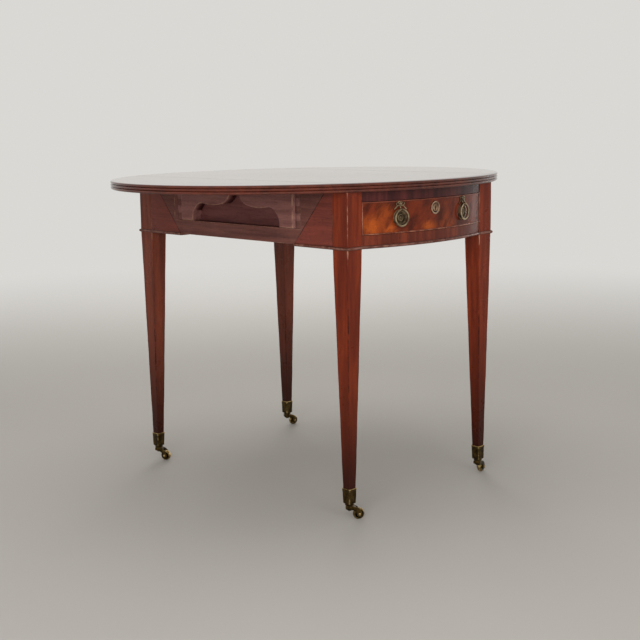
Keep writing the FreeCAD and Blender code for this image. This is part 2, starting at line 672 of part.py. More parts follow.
def make_drawer_lining():
    """Sides, back and bottom of the drawer, all stopping at the inside of its front."""
    front = bowed_board(DRAWER_HALF + OVERRUN, -BOW_SAG, DRAWER_FRONT_THICK, DRAWER_LOW - OVERRUN,
                        DRAWER_HIGH + OVERRUN)
    outer = DRAWER_HALF - DRAWER_LINING_SETBACK
    inner = outer - DRAWER_LINING
    start = bow_y(DRAWER_HALF, DRAWER_FRONT_THICK / 2)
    crown = FACE_Y + DRAWER_FRONT_THICK / 2
    high = DRAWER_BOTTOM_LOW + DRAWER_BOTTOM_THICK
    tongue = inner + DRAWER_GROOVE
    bottom = box(-tongue, tongue, crown, DRAWER_BACK_Y, DRAWER_BOTTOM_LOW, high).cut(front)
    side = box(inner, outer, start, DRAWER_BACK_Y, DRAWER_LOW, DRAWER_SIDE_TOP).cut(front).cut(bottom)
    back = box(-inner, inner, DRAWER_BACK_Y - DRAWER_LINING, DRAWER_BACK_Y, high, DRAWER_SIDE_TOP)
    return side, back, bottom


def make_runners():
    """Left hand runner under the drawer side and kicker above it, on the carcass rail."""
    inner = INNER_X - RUNNER_WIDTH
    runner_end = FACE_Y + BOTTOM_RAIL_DEPTH
    kicker_end = FACE_Y + TOP_RAIL_DEPTH
    runner = box(-INNER_X, -inner, runner_end, -runner_end, BOTTOM_RAIL_TOP - RUNNER_HEIGHT, BOTTOM_RAIL_TOP)
    kicker = box(-INNER_X, -inner, kicker_end, -kicker_end, TOP_RAIL_BOTTOM, TOP_RAIL_BOTTOM + KICKER_HEIGHT)
    return runner, kicker


def make_stop():
    """Left hand drawer stop, glued on the front bottom rail behind the drawer front."""
    outer = STOP_PLACE_X + STOP_WIDTH / 2
    front = bow_y(outer, DRAWER_FRONT_THICK) + STOP_GAP
    inner = outer - STOP_WIDTH
    return box(-outer, -inner, front, front + STOP_DEPTH, BOTTOM_RAIL_TOP, BOTTOM_RAIL_TOP + STOP_HEIGHT)


# Brass pulls and keyhole plates

def on_bow(shape, angle):
    """Turn a piece made at the crown of the bow to its place along it."""
    placed = shape.copy()
    placed.rotate(V(0, BOW_CENTRE_Y, 0), V(0, 0, 1), angle)
    return placed


def make_crest():
    """Ribbon bow above the ring: two open loops tied by a knot on a short stem."""
    knot_z = RING_TOP_Z + CREST_RISE
    out = V(0, -CREST_THICK, 0)
    half = CREST_STEM_WIDTH / 2
    crest = box(-half, half, FACE_Y - CREST_THICK, FACE_Y, RING_TOP_Z, knot_z)
    crest = crest.fuse(rod(CREST_KNOT_RADIUS, V(0, FACE_Y, knot_z), V(0, -1, 0), CREST_KNOT_THICK))
    for sign in (-1, 1):
        centre = V(sign * CREST_LOOP_X, FACE_Y, knot_z)
        outer = flat_oval(centre, CREST_LOOP_LONG, CREST_LOOP_SHORT)
        inner = flat_oval(centre, CREST_LOOP_LONG - CREST_LOOP_WALL, CREST_LOOP_SHORT - CREST_LOOP_WALL)
        loop = outer.extrude(out).cut(inner.extrude(out))
        loop.rotate(V(0, FACE_Y, knot_z), V(0, 1, 0), -sign * CREST_LOOP_TILT)
        crest = crest.fuse(loop)
    return crest


def flat_oval(centre, long, short):
    """Oval face lying on the drawer front."""
    curve = Part.Ellipse(centre + V(long, 0, 0), centre + V(0, 0, short), centre)
    return Part.Face(Part.Wire(curve.toShape()))


def make_pull_plate():
    """Round stepped plate with its eye and crest, at the crown of the bow."""
    profile = [V(0, FACE_Y, RING_Z), V(PULL_PLATE_RADIUS, FACE_Y, RING_Z)]
    profile += [V(reach * PULL_PLATE_RADIUS, FACE_Y - rise * PULL_PLATE_RISE, RING_Z)
                for reach, rise in PULL_PLATE_SHARES]
    profile.append(V(0, FACE_Y - PULL_PLATE_RISE, RING_Z))
    plate = turned(profile, V(0, 0, RING_Z), V(0, 1, 0))
    post = rod(EYE_RADIUS, V(0, FACE_Y, RING_TOP_Z), V(0, -1, 0), RING_STANDOFF + EYE_RADIUS)
    half = EYE_WIDTH / 2
    low = RING_TOP_Z - EYE_RADIUS
    reach = FACE_Y - RING_STANDOFF - EYE_RADIUS
    post = post.common(box(-half, half, reach, FACE_Y, low, low + 2 * EYE_RADIUS))
    plate = plate.fuse([post, make_crest()])
    hole = RING_WIRE + EYE_CLEAR
    start = V(-half - OVERRUN, FACE_Y - RING_STANDOFF, RING_TOP_Z)
    eye = rod(hole, start, V(1, 0, 0), EYE_WIDTH + 2 * OVERRUN)
    return plate.cut(eye).removeSplitter()


def make_ring():
    """Ring hanging in the eye, at the crown of the bow."""
    return Part.makeTorus(RING_RADIUS, RING_WIRE, V(0, FACE_Y - RING_STANDOFF, RING_Z), V(0, 1, 0))


def make_key_plate():
    """Round plate with a raised rim and a keyhole."""
    rim = KEY_PLATE_RADIUS - KEY_PLATE_RIM
    face = FACE_Y - KEY_PLATE_THICK
    lip = face - KEY_PLATE_RIM_RISE
    outline = [(0, FACE_Y), (KEY_PLATE_RADIUS, FACE_Y), (KEY_PLATE_RADIUS, lip), (rim, lip), (rim, face),
               (0, face)]
    profile = [V(x, y, KEYHOLE_Z) for x, y in outline]
    plate = turned(profile, V(0, 0, KEYHOLE_Z), V(0, 1, 0))
    return plate.cut(keyhole(lip - OVERRUN, FACE_Y + OVERRUN))


# Casters

def caster_axis():
    """Middle of the foot of the front left leg."""
    middle = leg_section(CUP_FLOOR, 0).BoundBox.Center
    return V(middle.x, middle.y, 0)


def make_cup(leg):
    """Square socket on the foot with a rim, a round neck and the pintle that the horn turns on."""
    axis = caster_axis()
    cup = leg_taper(CUP_BOTTOM, CUP_TOP, CUP_WALL)
    rim = leg_taper(CUP_TOP - CUP_RIM_HEIGHT, CUP_TOP, CUP_WALL + CUP_RIM_PROUD)
    neck_low = CUP_BOTTOM - CUP_NECK_HEIGHT
    neck = rod(CUP_NECK_RADIUS, axis + V(0, 0, neck_low), V(0, 0, 1), CUP_NECK_HEIGHT)
    head_high = neck_low - HORN_GAP - HORN_HEIGHT - PINTLE_HEAD_GAP
    head_low = head_high - PINTLE_HEAD_HEIGHT
    pintle = rod(PINTLE_RADIUS, axis + V(0, 0, head_low), V(0, 0, 1), neck_low - head_low)
    head = rod(PINTLE_HEAD_RADIUS, axis + V(0, 0, head_low), V(0, 0, 1), PINTLE_HEAD_HEIGHT)
    return cup.fuse([rim, neck, pintle, head]).cut(leg).removeSplitter()


def make_horn():
    """Swivelling horn trailing along +X from the origin, with its cheeks and riveted axle."""
    high = CUP_BOTTOM - CUP_NECK_HEIGHT - HORN_GAP
    low = high - HORN_HEIGHT
    inner = WHEEL_WIDTH / 2 + WHEEL_SIDE_GAP
    outer = inner + CHEEK_THICK
    across = V(0, 1, 0)
    collar = rod(HORN_RADIUS, V(0, 0, low), V(0, 0, 1), HORN_HEIGHT)
    arm_points = [V(-HORN_RADIUS, -outer, high), V(HORN_RADIUS, -outer, high),
                  V(CASTER_TRAIL + AXLE_BOSS_RADIUS, -outer, WHEEL_RADIUS),
                  V(CASTER_TRAIL - AXLE_BOSS_RADIUS, -outer, WHEEL_RADIUS), V(-HORN_RADIUS, -outer, low)]
    arms = prism(arm_points, V(0, 2 * outer, 0))
    boss = rod(AXLE_BOSS_RADIUS, V(CASTER_TRAIL, -outer, WHEEL_RADIUS), across, 2 * outer)
    horn = collar.fuse([arms, boss])
    room = WHEEL_RADIUS + WHEEL_TOP_GAP
    horn = horn.cut(rod(room, V(CASTER_TRAIL, -inner, WHEEL_RADIUS), across, 2 * inner))
    horn = horn.cut(rod(PINTLE_RADIUS + PINTLE_CLEAR, V(0, 0, 0), V(0, 0, 1), high + OVERRUN))
    sweep = PINTLE_HEAD_RADIUS + PINTLE_HEAD_GAP
    horn = horn.cut(rod(sweep, V(0, 0, 0), V(0, 0, 1), low))
    axle = rod(AXLE_RADIUS, V(CASTER_TRAIL, -outer, WHEEL_RADIUS), across, 2 * outer)
    heads = [rod(AXLE_HEAD_RADIUS, V(CASTER_TRAIL, start, WHEEL_RADIUS), across, AXLE_HEAD_RISE)
             for start in (-outer - AXLE_HEAD_RISE, outer)]
    return horn.fuse([axle] + heads).removeSplitter()


def make_wheel():
    """Brass wheel with a rounded tread and a bore for the axle."""
    half = WHEEL_WIDTH / 2
    bore = AXLE_RADIUS + AXLE_CLEAR
    shoulder = WHEEL_RADIUS - WHEEL_ROUND
    z = WHEEL_RADIUS
    x = CASTER_TRAIL
    tread = Part.Arc(V(x, half, z + shoulder), V(x, 0, z + WHEEL_RADIUS), V(x, -half, z + shoulder))
    edges = [Part.makeLine(V(x, -half, z + bore), V(x, half, z + bore)),
             Part.makeLine(V(x, half, z + bore), V(x, half, z + shoulder)),
             tread.toShape(),
             Part.makeLine(V(x, -half, z + shoulder), V(x, -half, z + bore))]
    return Part.Face(Part.Wire(edges)).revolve(V(x, 0, z), V(0, 1, 0), 360)


def at_caster(shape, corner):
    """Put a caster piece under the named leg, trailing as it stands."""
    side, end = corner_signs(corner)
    axis = caster_axis()
    placed = shape.copy()
    placed.rotate(V(0, 0, 0), V(0, 0, 1), CASTER_ANGLES[corner])
    return placed.translated(V(-side * axis.x, end * -axis.y, 0))


# Assembly

def save_top():
    """Fixed top, flaps and their hinges."""
    board = oval_board()
    flap = make_right_flap(board)
    save("fixed_top", make_fixed_top(board))
    save("right_flap", flap)
    save("left_flap", mirror_x(flap))
    fixed, moving, pins = make_hinges()
    save("top_hinge_leaves", group(fixed + [mirror_x(leaf) for leaf in fixed]))
    save("right_flap_hinge_leaves", group(moving))
    save("left_flap_hinge_leaves", group([mirror_x(leaf) for leaf in moving]))
    save("hinge_pins", group(pins + [mirror_x(pin) for pin in pins]))


def save_legs():
    """Legs, their beads and the caster cups."""
    leg = make_leg()
    for corner in CORNERS:
        save("leg_" + corner, at_corner(leg, corner))
    save("leg_beads", group([at_corner(make_leg_bead(), corner) for corner in CORNERS]))
    save("caster_cups", group([at_corner(make_cup(leg), corner) for corner in CORNERS]))


def save_sides():
    """Carcass rails, fly rails, end blocks, brackets and pins."""
    rails = {"side_rail": make_side_rail(), "fly_rail": make_fly_rail()}
    for name, shape in rails.items():
        save(name + "_left", shape)
        save(name + "_right", mirror_x(shape))
    block = make_end_block()
    save("end_blocks_left", group([block, mirror_y(block)]))
    save("end_blocks_right", group([mirror_x(block), mirror_x(mirror_y(block))]))
    save("side_beads", group([at_corner(make_side_bead(), corner) for corner in CORNERS]))
    bracket = make_bracket()
    for corner in CORNERS:
        save("fly_bracket_" + corner, at_corner(bracket, corner))
    save("bracket_pins", group([at_corner(make_bracket_pin(), corner) for corner in CORNERS]))


def save_ends():
    """Bowed rails, dummy drawer and their beads."""
    front_top, front_bottom = make_front_rails()
    back_top, back_bottom, dummy = make_back_panels()
    save("front_top_rail", front_top)
    save("front_bottom_rail", front_bottom)
    save("back_top_rail", back_top)
    save("back_bottom_rail", back_bottom)
    save("dummy_drawer_front", dummy)
    bead = make_bowed_bead()
    save("end_beads", group([bead, mirror_y(bead)]))
    strips = cock_bead_strips(INNER_X, BOTTOM_RAIL_TOP, TOP_RAIL_BOTTOM)
    save("dummy_cock_beads", group([mirror_y(strip) for strip in strips]))


def save_drawer():
    """Drawer, lock, runners, kickers and stops."""
    side, back, bottom = make_drawer_lining()
    save("drawer_front", make_drawer_front())
    save("drawer_cock_beads", group(cock_bead_strips(DRAWER_HALF, DRAWER_LOW, DRAWER_HIGH)))
    save("drawer_side_right", side)
    save("drawer_side_left", mirror_x(side))
    save("drawer_back", back)
    save("drawer_bottom", bottom)
    case, bolt = make_lock()
    save("lock_case", case)
    save("lock_bolt", bolt)
    runner, kicker = make_runners()
    save("drawer_runners", group([runner, mirror_x(runner)]))
    save("drawer_kickers", group([kicker, mirror_x(kicker)]))
    save("drawer_stops", group([make_stop(), mirror_x(make_stop())]))


def save_brass():
    """Pulls and keyhole plates at both ends."""
    plate = make_pull_plate()
    ring = make_ring()
    plates = [on_bow(plate, -PULL_ANGLE), on_bow(plate, PULL_ANGLE)]
    rings = {"left": on_bow(ring, -PULL_ANGLE), "right": on_bow(ring, PULL_ANGLE)}
    save("drawer_pull_plates", group(plates))
    save("dummy_pull_plates", group([mirror_y(shape) for shape in plates]))
    for side, shape in rings.items():
        save("drawer_pull_ring_" + side, shape)
        save("dummy_pull_ring_" + side, mirror_y(shape))
    save("drawer_key_plate", make_key_plate())
    save("dummy_key_plate", mirror_y(make_key_plate()))


def save_casters():
    """Swivelling horns and their wheels."""
    horn = make_horn()
    wheel = make_wheel()
    for corner in CORNERS:
        save("caster_horn_" + corner, at_caster(horn, corner))
        save("caster_wheel_" + corner, at_caster(wheel, corner))


os.makedirs("parts", exist_ok=True)
save_top()
save_legs()
save_sides()
save_ends()
save_drawer()
save_brass()
save_casters()
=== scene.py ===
"""Looks of an oval drop-leaf table on casters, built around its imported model.

Sizes are in millimetres in the frame of the model, and go into the meshes in metres.
"""

import json
import logging
from collections.abc import Mapping, Sequence
from dataclasses import dataclass, field, replace
from enum import Enum

import bmesh
import bpy
import numpy as np
from mathutils import Matrix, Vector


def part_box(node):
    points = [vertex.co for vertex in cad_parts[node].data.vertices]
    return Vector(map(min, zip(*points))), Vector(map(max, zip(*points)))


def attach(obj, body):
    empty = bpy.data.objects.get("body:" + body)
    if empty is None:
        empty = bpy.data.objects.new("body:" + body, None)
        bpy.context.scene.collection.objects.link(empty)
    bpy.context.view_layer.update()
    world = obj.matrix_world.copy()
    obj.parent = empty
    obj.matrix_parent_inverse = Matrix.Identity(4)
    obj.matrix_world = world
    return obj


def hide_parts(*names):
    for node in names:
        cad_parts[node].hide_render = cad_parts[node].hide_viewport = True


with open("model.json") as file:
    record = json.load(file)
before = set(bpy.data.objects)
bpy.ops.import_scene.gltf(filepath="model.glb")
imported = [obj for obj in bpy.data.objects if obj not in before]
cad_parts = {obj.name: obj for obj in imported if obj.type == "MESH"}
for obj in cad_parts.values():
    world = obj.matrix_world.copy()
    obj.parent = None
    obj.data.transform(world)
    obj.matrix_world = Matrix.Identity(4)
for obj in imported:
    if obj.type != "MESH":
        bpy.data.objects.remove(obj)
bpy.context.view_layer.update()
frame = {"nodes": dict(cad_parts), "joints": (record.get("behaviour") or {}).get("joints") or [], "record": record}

MM = 0.001
FULL_TURN = 2 * np.pi
RIGHT_ANGLE = np.pi / 2
UP = np.array([0.0, 0.0, 1.0])
OUT = np.array([0.0, 1.0, 0.0])
CORNERS = ("front_left", "front_right", "back_left", "back_right")
JOINTS = {joint["name"]: joint for joint in frame["joints"]}
BODY_OF = {node: body for body, nodes in frame["record"]["behaviour"]["bodies"].items() for node in nodes}

# Sign of X on each side, and of Y at each drawer front
SIDES = {"left": -1.0, "right": 1.0}
FRONTS = {"drawer": -1.0, "dummy": 1.0}

# Metres within which two points are one, in a new mesh and in a copy of a packed one
MERGE = 2e-7
COPY_MERGE = 2e-6

Array = np.ndarray
Colour = tuple[float, float, float, float]
log = logging.getLogger("drop_leaf_table")


# Places read from the frame

def span(node: str) -> tuple[Array, Array]:
    """Gives a node's lowest and highest corner in millimetres."""
    low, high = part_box(node)
    return np.array(low) / MM, np.array(high) / MM


def joint_place(name: str) -> Array:
    """Gives a joint's place in millimetres."""
    return np.array(JOINTS[name]["pos_m"]) / MM


def front_length(node: str) -> float:
    """Gives the length of the front half of a pair of strips, from its end to the slanting joint.

    Args:
        node: The node that holds both strips.

    Returns:
        The length in millimetres.
    """
    vertices = frame["nodes"][node].data.vertices
    places = np.zeros(3 * len(vertices), np.float32)
    vertices.foreach_get("co", places)
    along = places[1::3].astype(float) / MM
    front = along[along < 0]
    return float(front.max() - front.min())


def corner_flip(corner: str) -> Array:
    """Gives the signs of X, Y and Z that carry the front left corner of the table to another."""
    return np.array([-1.0 if "right" in corner else 1.0, 1.0 if "front" in corner else -1.0, 1.0])


# Surfaces

@dataclass
class Skin:
    """A surface: its points, its four-sided faces, its end caps and how worn each point is."""

    points: Array
    quads: Array
    caps: list[list[int]]
    worn: Array


@dataclass
class Spot:
    """A place on the table with its own right, out and up directions."""

    origin: Array
    right: Array
    out: Array
    up: Array = field(default_factory=lambda: UP)

    def place(self, local: Array) -> Array:
        """Moves points from right, out and up distances into the frame."""
        right, out, up = local[..., :1], local[..., 1:2], local[..., 2:]
        return self.origin + right * self.right + out * self.out + up * self.up


def smooth(share: Array) -> Array:
    """Eases a share from 0 to 1: three times its square less twice its cube."""
    share = np.clip(share, 0.0, 1.0)
    return share * share * (3 - 2 * share)


def turn_angles(steps: int) -> Array:
    """Gives evenly spaced angles once round."""
    return np.arange(steps) * FULL_TURN / steps


def on_circle(angle: Array) -> Array:
    """Gives the cosine and the sine of each angle, as points of a circle."""
    return np.stack([np.cos(angle), np.sin(angle)], -1)


def standing(flat: Array, out: Array | float = 0.0) -> Array:
    """Turns right and up distances into right, out and up distances."""
    return np.stack([flat[:, 0], np.broadcast_to(out, len(flat)), flat[:, 1]], -1)


def skin_of(grid: Array, worn: Array | float = 0.0, wrap: bool = True, closed: bool = False,
            caps: tuple[bool, bool] = (False, False)) -> Skin:
    """Joins a grid of points into a surface, each point with its next along the row and the column.

    Args:
        grid: Points by row and column, shape (rows, columns, 3).
        worn: How worn each point is, from -1 (grime in a hollow; painted shade on some pieces) to 1 (rubbed edge;
            painted highlight on some pieces).
        wrap: Whether the last column joins the first.
        closed: Whether the last row joins the first.
        caps: Whether the first and the last row are filled.

    Returns:
        The surface.
    """
    rows, columns = grid.shape[:2]
    index = np.arange(rows * columns).reshape(rows, columns)
    net = np.concatenate([index, index[:, :1]], 1) if wrap else index
    net = np.concatenate([net, net[:1]], 0) if closed else net
    quads = np.stack([net[:-1, :-1], net[:-1, 1:], net[1:, 1:], net[1:, :-1]], -1).reshape(-1, 4)
    ends = [index[row].tolist() for row, filled in zip((0, -1), caps) if filled]
    values = np.broadcast_to(np.asarray(worn, float), (rows, columns)).ravel()
    return Skin(grid.reshape(-1, 3), quads, ends, values)


def turned(profile: Array, steps: int) -> Array:
    """Turns a profile once round the out direction.

    A point is (radius x cosine, height, radius x sine) of the angle, one row for each angle.

    Args:
        profile: Radius and height of each point, shape (points, 2).
        steps: Number of angles.

    Returns:
        Right, out and up distances, shape (steps, points, 3).
    """
    angle = turn_angles(steps)[:, None]
    radius, height = profile.T
    heights = np.broadcast_to(height, (steps, len(height)))
    return np.stack([radius * np.cos(angle), heights, radius * np.sin(angle)], -1)


def upright(grid: Array) -> Array:
    """Swaps the out and up directions of a turned grid, so that its axis is upright."""
    return grid[..., [0, 2, 1]]


def carried(path: Array, side: Array, lift: Array, section: Array) -> Array:
    """Carries a section along a path: point = path + side x first + lift x second coordinate.

    Args:
        path: Points of the path, shape (rows, 3).
        side: Direction of the section's first coordinate at each point.
        lift: Direction of the section's second coordinate at each point.
        section: The section's points, shape (columns, 2) or (rows, columns, 2).

    Returns:
        The grid of points.
    """
    section = np.broadcast_to(section, (len(path), *section.shape[-2:]))
    side = np.broadcast_to(side, path.shape)
    lift = np.broadcast_to(lift, path.shape)
    return path[:, None] + side[:, None] * section[..., :1] + lift[:, None] * section[..., 1:]


def soft_bar(width: float, height: float, steps: int, power: float) -> Array:
    """Gives the section of a bar with rounded edges: cosine and sine, each raised to a power below 1.

    Args:
        width: Width of the bar.
        height: Height of the bar.
        steps: Number of points.
        power: The power; the lower, the squarer.

    Returns:
        Points of the section, shape (steps, 2).
    """
    circle = on_circle(turn_angles(steps))
    return np.sign(circle) * np.abs(circle) ** power * np.array([width, height]) / 2


def bent(points: Sequence[Sequence[float]], steps: int) -> Array:
    """Gives a curve with four guide points, weighted by the cubes and products of the share and its rest.

    Args:
        points: Start, two guides and end.
        steps: Number of points on the curve.

    Returns:
        Points of the curve, one row each.
    """
    share = np.linspace(0.0, 1.0, steps)[:, None]
    rest = 1 - share
    first, second, third, fourth = np.array(points, float)
    return (rest ** 3 * first + 3 * rest ** 2 * share * second
            + 3 * rest * share ** 2 * third + share ** 3 * fourth)


# Shader nodes

Feed = bpy.types.NodeSocket | float | Colour | tuple[float, float, float]
Sockets = Mapping[str, bpy.types.NodeSocket]


class Bench:
    """Adds shader nodes to one tree and joins them."""

    def __init__(self, tree: bpy.types.NodeTree) -> None:
        """Keeps the tree to work on."""
        self.tree = tree

    def add(self, kind: str, inputs: dict[str | int, Feed] | None = None,
            **settings: object) -> bpy.types.Node:
        """Adds a node.

        Args:
            kind: The node's type without its prefix.
            inputs: Values or sockets for its inputs.
            **settings: Its own settings.

        Returns:
            The node.
        """
        node = self.tree.nodes.new(kind if kind.startswith("NodeGroup") else "ShaderNode" + kind)
        for key, value in settings.items():
            setattr(node, key, value)
        for key, value in (inputs or {}).items():
            self.feed(node.inputs[key], value)
        return node

    def feed(self, socket: bpy.types.NodeSocket, value: Feed) -> None:
        """Joins a socket to another, or sets its value.

        Args:
            socket: The input to feed.
            value: An output, or a plain value.
        """
        if isinstance(value, bpy.types.NodeSocket):
            self.tree.links.new(value, socket)
        else:
            socket.default_value = value

    def axis(self, place: Feed, name: str) -> bpy.types.NodeSocket:
        """Gives one coordinate of a place."""
        return self.add("SeparateXYZ", {0: place}).outputs[name]

    def mix(self, share: Feed, first: Feed, second: Feed) -> bpy.types.NodeSocket:
        """Mixes two colours by a share."""
        node = self.add("Mix", {0: share, 6: first, 7: second}, data_type="RGBA")
        return node.outputs[2]

    def maths(self, kind: str, first: Feed, second: Feed = 0.0) -> bpy.types.NodeSocket:
        """Works out one number from two."""
        return self.add("Math", {0: first, 1: second}, operation=kind).outputs[0]

    def times(self, first: Feed, second: Feed) -> bpy.types.NodeSocket:
        """Multiplies two numbers."""
        return self.maths("MULTIPLY", first, second)

    def plus(self, first: Feed, second: Feed) -> bpy.types.NodeSocket:
        """Adds two numbers."""
        return self.maths("ADD", first, second)

    def blend(self, first: Feed, second: Feed, share: float) -> bpy.types.NodeSocket:
        """Adds a share of one number to the rest of another."""
        return self.plus(self.times(first, share), self.times(second, 1 - share))

    def ramp(self, value: Feed, low: float, high: float, start: Feed = 0.0,
             end: Feed = 1.0) -> bpy.types.NodeSocket:
        """Runs from start to end while a value goes from low to high."""
        inputs = {"Value": value, "From Min": low, "From Max": high, "To Min": start, "To Max": end}
        return self.add("MapRange", inputs, interpolation_type="SMOOTHSTEP").outputs[0]

    def noise(self, place: Feed, scale: float, detail: float = 3.0, roughness: float = 0.55,
              distortion: float = 0.0) -> bpy.types.NodeSocket:
        """Gives cloudy noise about a half at a place."""
        inputs = {"Vector": place, "Scale": scale, "Detail": detail, "Roughness": roughness,
                  "Distortion": distortion}
        return self.add("TexNoise", inputs).outputs[0]


def new_group(name: str, takes: dict[str, str], gives: dict[str, str]) -> tuple[Bench, Sockets, Sockets]:
    """Starts a node group.

    Args:
        name: Name of the group.
        takes: Socket type of each input.
        gives: Socket type of each output.

    Returns:
        The group's bench, the sockets that bring its inputs and the sockets that take its outputs.
    """
    tree = bpy.data.node_groups.new(name, "ShaderNodeTree")
    for label, kind in takes.items():
        tree.interface.new_socket(label, in_out="INPUT", socket_type="NodeSocket" + kind)
    for label, kind in gives.items():
        tree.interface.new_socket(label, in_out="OUTPUT", socket_type="NodeSocket" + kind)
    bench = Bench(tree)
    return bench, bench.add("NodeGroupInput").outputs, bench.add("NodeGroupOutput").inputs


def figure_group() -> bpy.types.NodeTree:
    """Makes the group for straight timber: broad bands, fine stripes and open pores along the grain."""
    bench, takes, gives = new_group(
        "Timber figure", {"Along": "Vector", "Light": "Color", "Dark": "Color", "Pore": "Color"},
        {"Color": "Color", "Pores": "Float"})
    broad = bench.noise(takes["Along"], scale=13.0, detail=4.0, roughness=0.55, distortion=0.7)
    stripe = bench.noise(takes["Along"], scale=95.0, detail=4.0, roughness=0.65, distortion=0.2)
    bands = bench.ramp(bench.blend(broad, stripe, 0.55), 0.36, 0.64)
    figure = bench.mix(bands, takes["Dark"], takes["Light"])
    fine = bench.noise(takes["Along"], scale=1100.0, detail=2.0, roughness=0.6)
    pores = bench.ramp(fine, 0.57, 0.70)
    bench.feed(gives["Color"], bench.mix(bench.times(pores, 0.55), figure, takes["Pore"]))
    bench.feed(gives["Pores"], pores)
    return bench.tree


def wear_group() -> bpy.types.NodeTree:
    """Makes the group for rubbed edges, grime in hollows and painted highlights and shade, broken up by noise."""
    bench, takes, gives = new_group(
        "Edge wear",
        {"Place": "Vector", "Color": "Color", "Rubbed": "Color", "Grime": "Color", "Amount": "Float"},
        {"Color": "Color", "Rub": "Float"})
    worn = bench.add("Attribute", attribute_name="worn").outputs["Fac"]
    cloud = bench.noise(takes["Place"], scale=70.0, detail=6.0, roughness=0.65)
    broken = bench.plus(bench.ramp(cloud, 0.3, 0.7), 0.25)
    # Positive wear lightens to the rubbed colour: wear, and painted highlights on some pieces
    rub = bench.ramp(bench.times(worn, broken), 0.30, 0.95)
    rub = bench.times(rub, takes["Amount"])
    # Negative wear darkens to the grime colour: grime, and painted shade on some pieces
    hollow = bench.times(bench.times(worn, -1.0), broken)
    rubbed_and_lit = bench.mix(rub, takes["Color"], takes["Rubbed"])
    soiled_and_shaded = bench.mix(bench.ramp(hollow, 0.10, 0.90), rubbed_and_lit, takes["Grime"])
    bench.feed(gives["Color"], soiled_and_shaded)
    bench.feed(gives["Rub"], rub)
    return bench.tree


def handling_group() -> bpy.types.NodeTree:
    """Makes the group for handled surfaces: smudges that change the gloss, and a slightly uneven face."""
    bench, takes, gives = new_group("Handling", {"Place": "Vector", "Glossy": "Float", "Dull": "Float"},
                                    {"Roughness": "Float", "Height": "Float"})
    smudge = bench.noise(takes["Place"], scale=11.0, detail=6.0, roughness=0.62, distortion=0.4)
    bench.feed(gives["Roughness"], bench.ramp(smudge, 0.32, 0.68, takes["Glossy"], takes["Dull"]))
    broad = bench.noise(takes["Place"], scale=34.0, detail=2.0)
    fine = bench.noise(takes["Place"], scale=260.0)
    bench.feed(gives["Height"], bench.plus(broad, bench.times(fine, 0.25)))
    return bench.tree


GROUPS = {"figure": figure_group(), "wear": wear_group(), "handling": handling_group()}
MADE: dict[str, bpy.types.Material] = {}


def add_group(bench: Bench, name: str, inputs: dict[str, Feed]) -> Sockets:
    """Places a shared group in a material and gives its outputs."""
    return bench.add("Group", inputs, node_tree=GROUPS[name]).outputs


def start_material(name: str) -> tuple[Bench, bpy.types.Node, bpy.types.NodeSocket]:
    """Starts a material.

    Args:
        name: Name of the material.

    Returns:
        Its bench, its shader and the object coordinates.
    """
    material = bpy.data.materials.new(name)
    MADE[name] = material
    material.use_nodes = True
    bench = Bench(material.node_tree)
    shader = material.node_tree.nodes["Principled BSDF"]
    place = bench.add("TexCoord").outputs["Object"]
    return bench, shader, place


def paint(red: int, green: int, blue: int) -> Colour:
    """Turns a screen colour into linear light, by the screen's own curve.

    Args:
        red: Red, 0 to 255.
        green: Green, 0 to 255.
        blue: Blue, 0 to 255.

    Returns:
        The linear colour with full cover.
    """
    screen = np.array([red, green, blue]) / 255
    low = screen / 12.92
    high = ((screen + 0.055) / 1.055) ** 2.4
    linear = np.where(screen <= 0.04045, low, high)
    return (float(linear[0]), float(linear[1]), float(linear[2]), 1.0)


# Kinds of finish

class Grain(Enum):
    """Which way the grain runs, as the scale of each direction in the figure."""

    ALONG_X = (0.07, 1.0, 1.0)
    ALONG_Y = (1.0, 0.07, 1.0)
    ALONG_Z = (1.0, 1.0, 0.07)


@dataclass(frozen=True, kw_only=True)
class Finish:
    """A worn finish, whose material is made the first time that it is asked for."""

    name: str
    # Rubbed and grime colours, which on some pieces also paint highlights and shade
    rubbed: Colour
    grime: Colour
    wear: float
    glossy: float
    dull: float

    def material(self) -> bpy.types.Material:
        """Gives the material, made once."""
        if self.name not in MADE:
            self.lay(*start_material(self.name))
        return MADE[self.name]

    def lay(self, bench: Bench, shader: bpy.types.Node, place: Feed) -> None:
        """Lays the finish on a new material, each kind in its own way."""
        raise NotImplementedError

    def aged(self, bench: Bench, place: Feed, colour: Feed) -> tuple[Sockets, Sockets]:
        """Adds rubbed edges, grime, painted highlights and shade, and smudges to a colour.

        Args:
            bench: The material's bench.
            place: The object coordinates.
            colour: The colour where it is whole and clean.

        Returns:
            The outputs of the wear group and of the handling group.
        """
        wear = add_group(bench, "wear", {"Place": place, "Color": colour, "Rubbed": self.rubbed,
                                         "Grime": self.grime, "Amount": self.wear})
        handled = add_group(bench, "handling", {"Place": place, "Glossy": self.glossy, "Dull": self.dull})
        return wear, handled


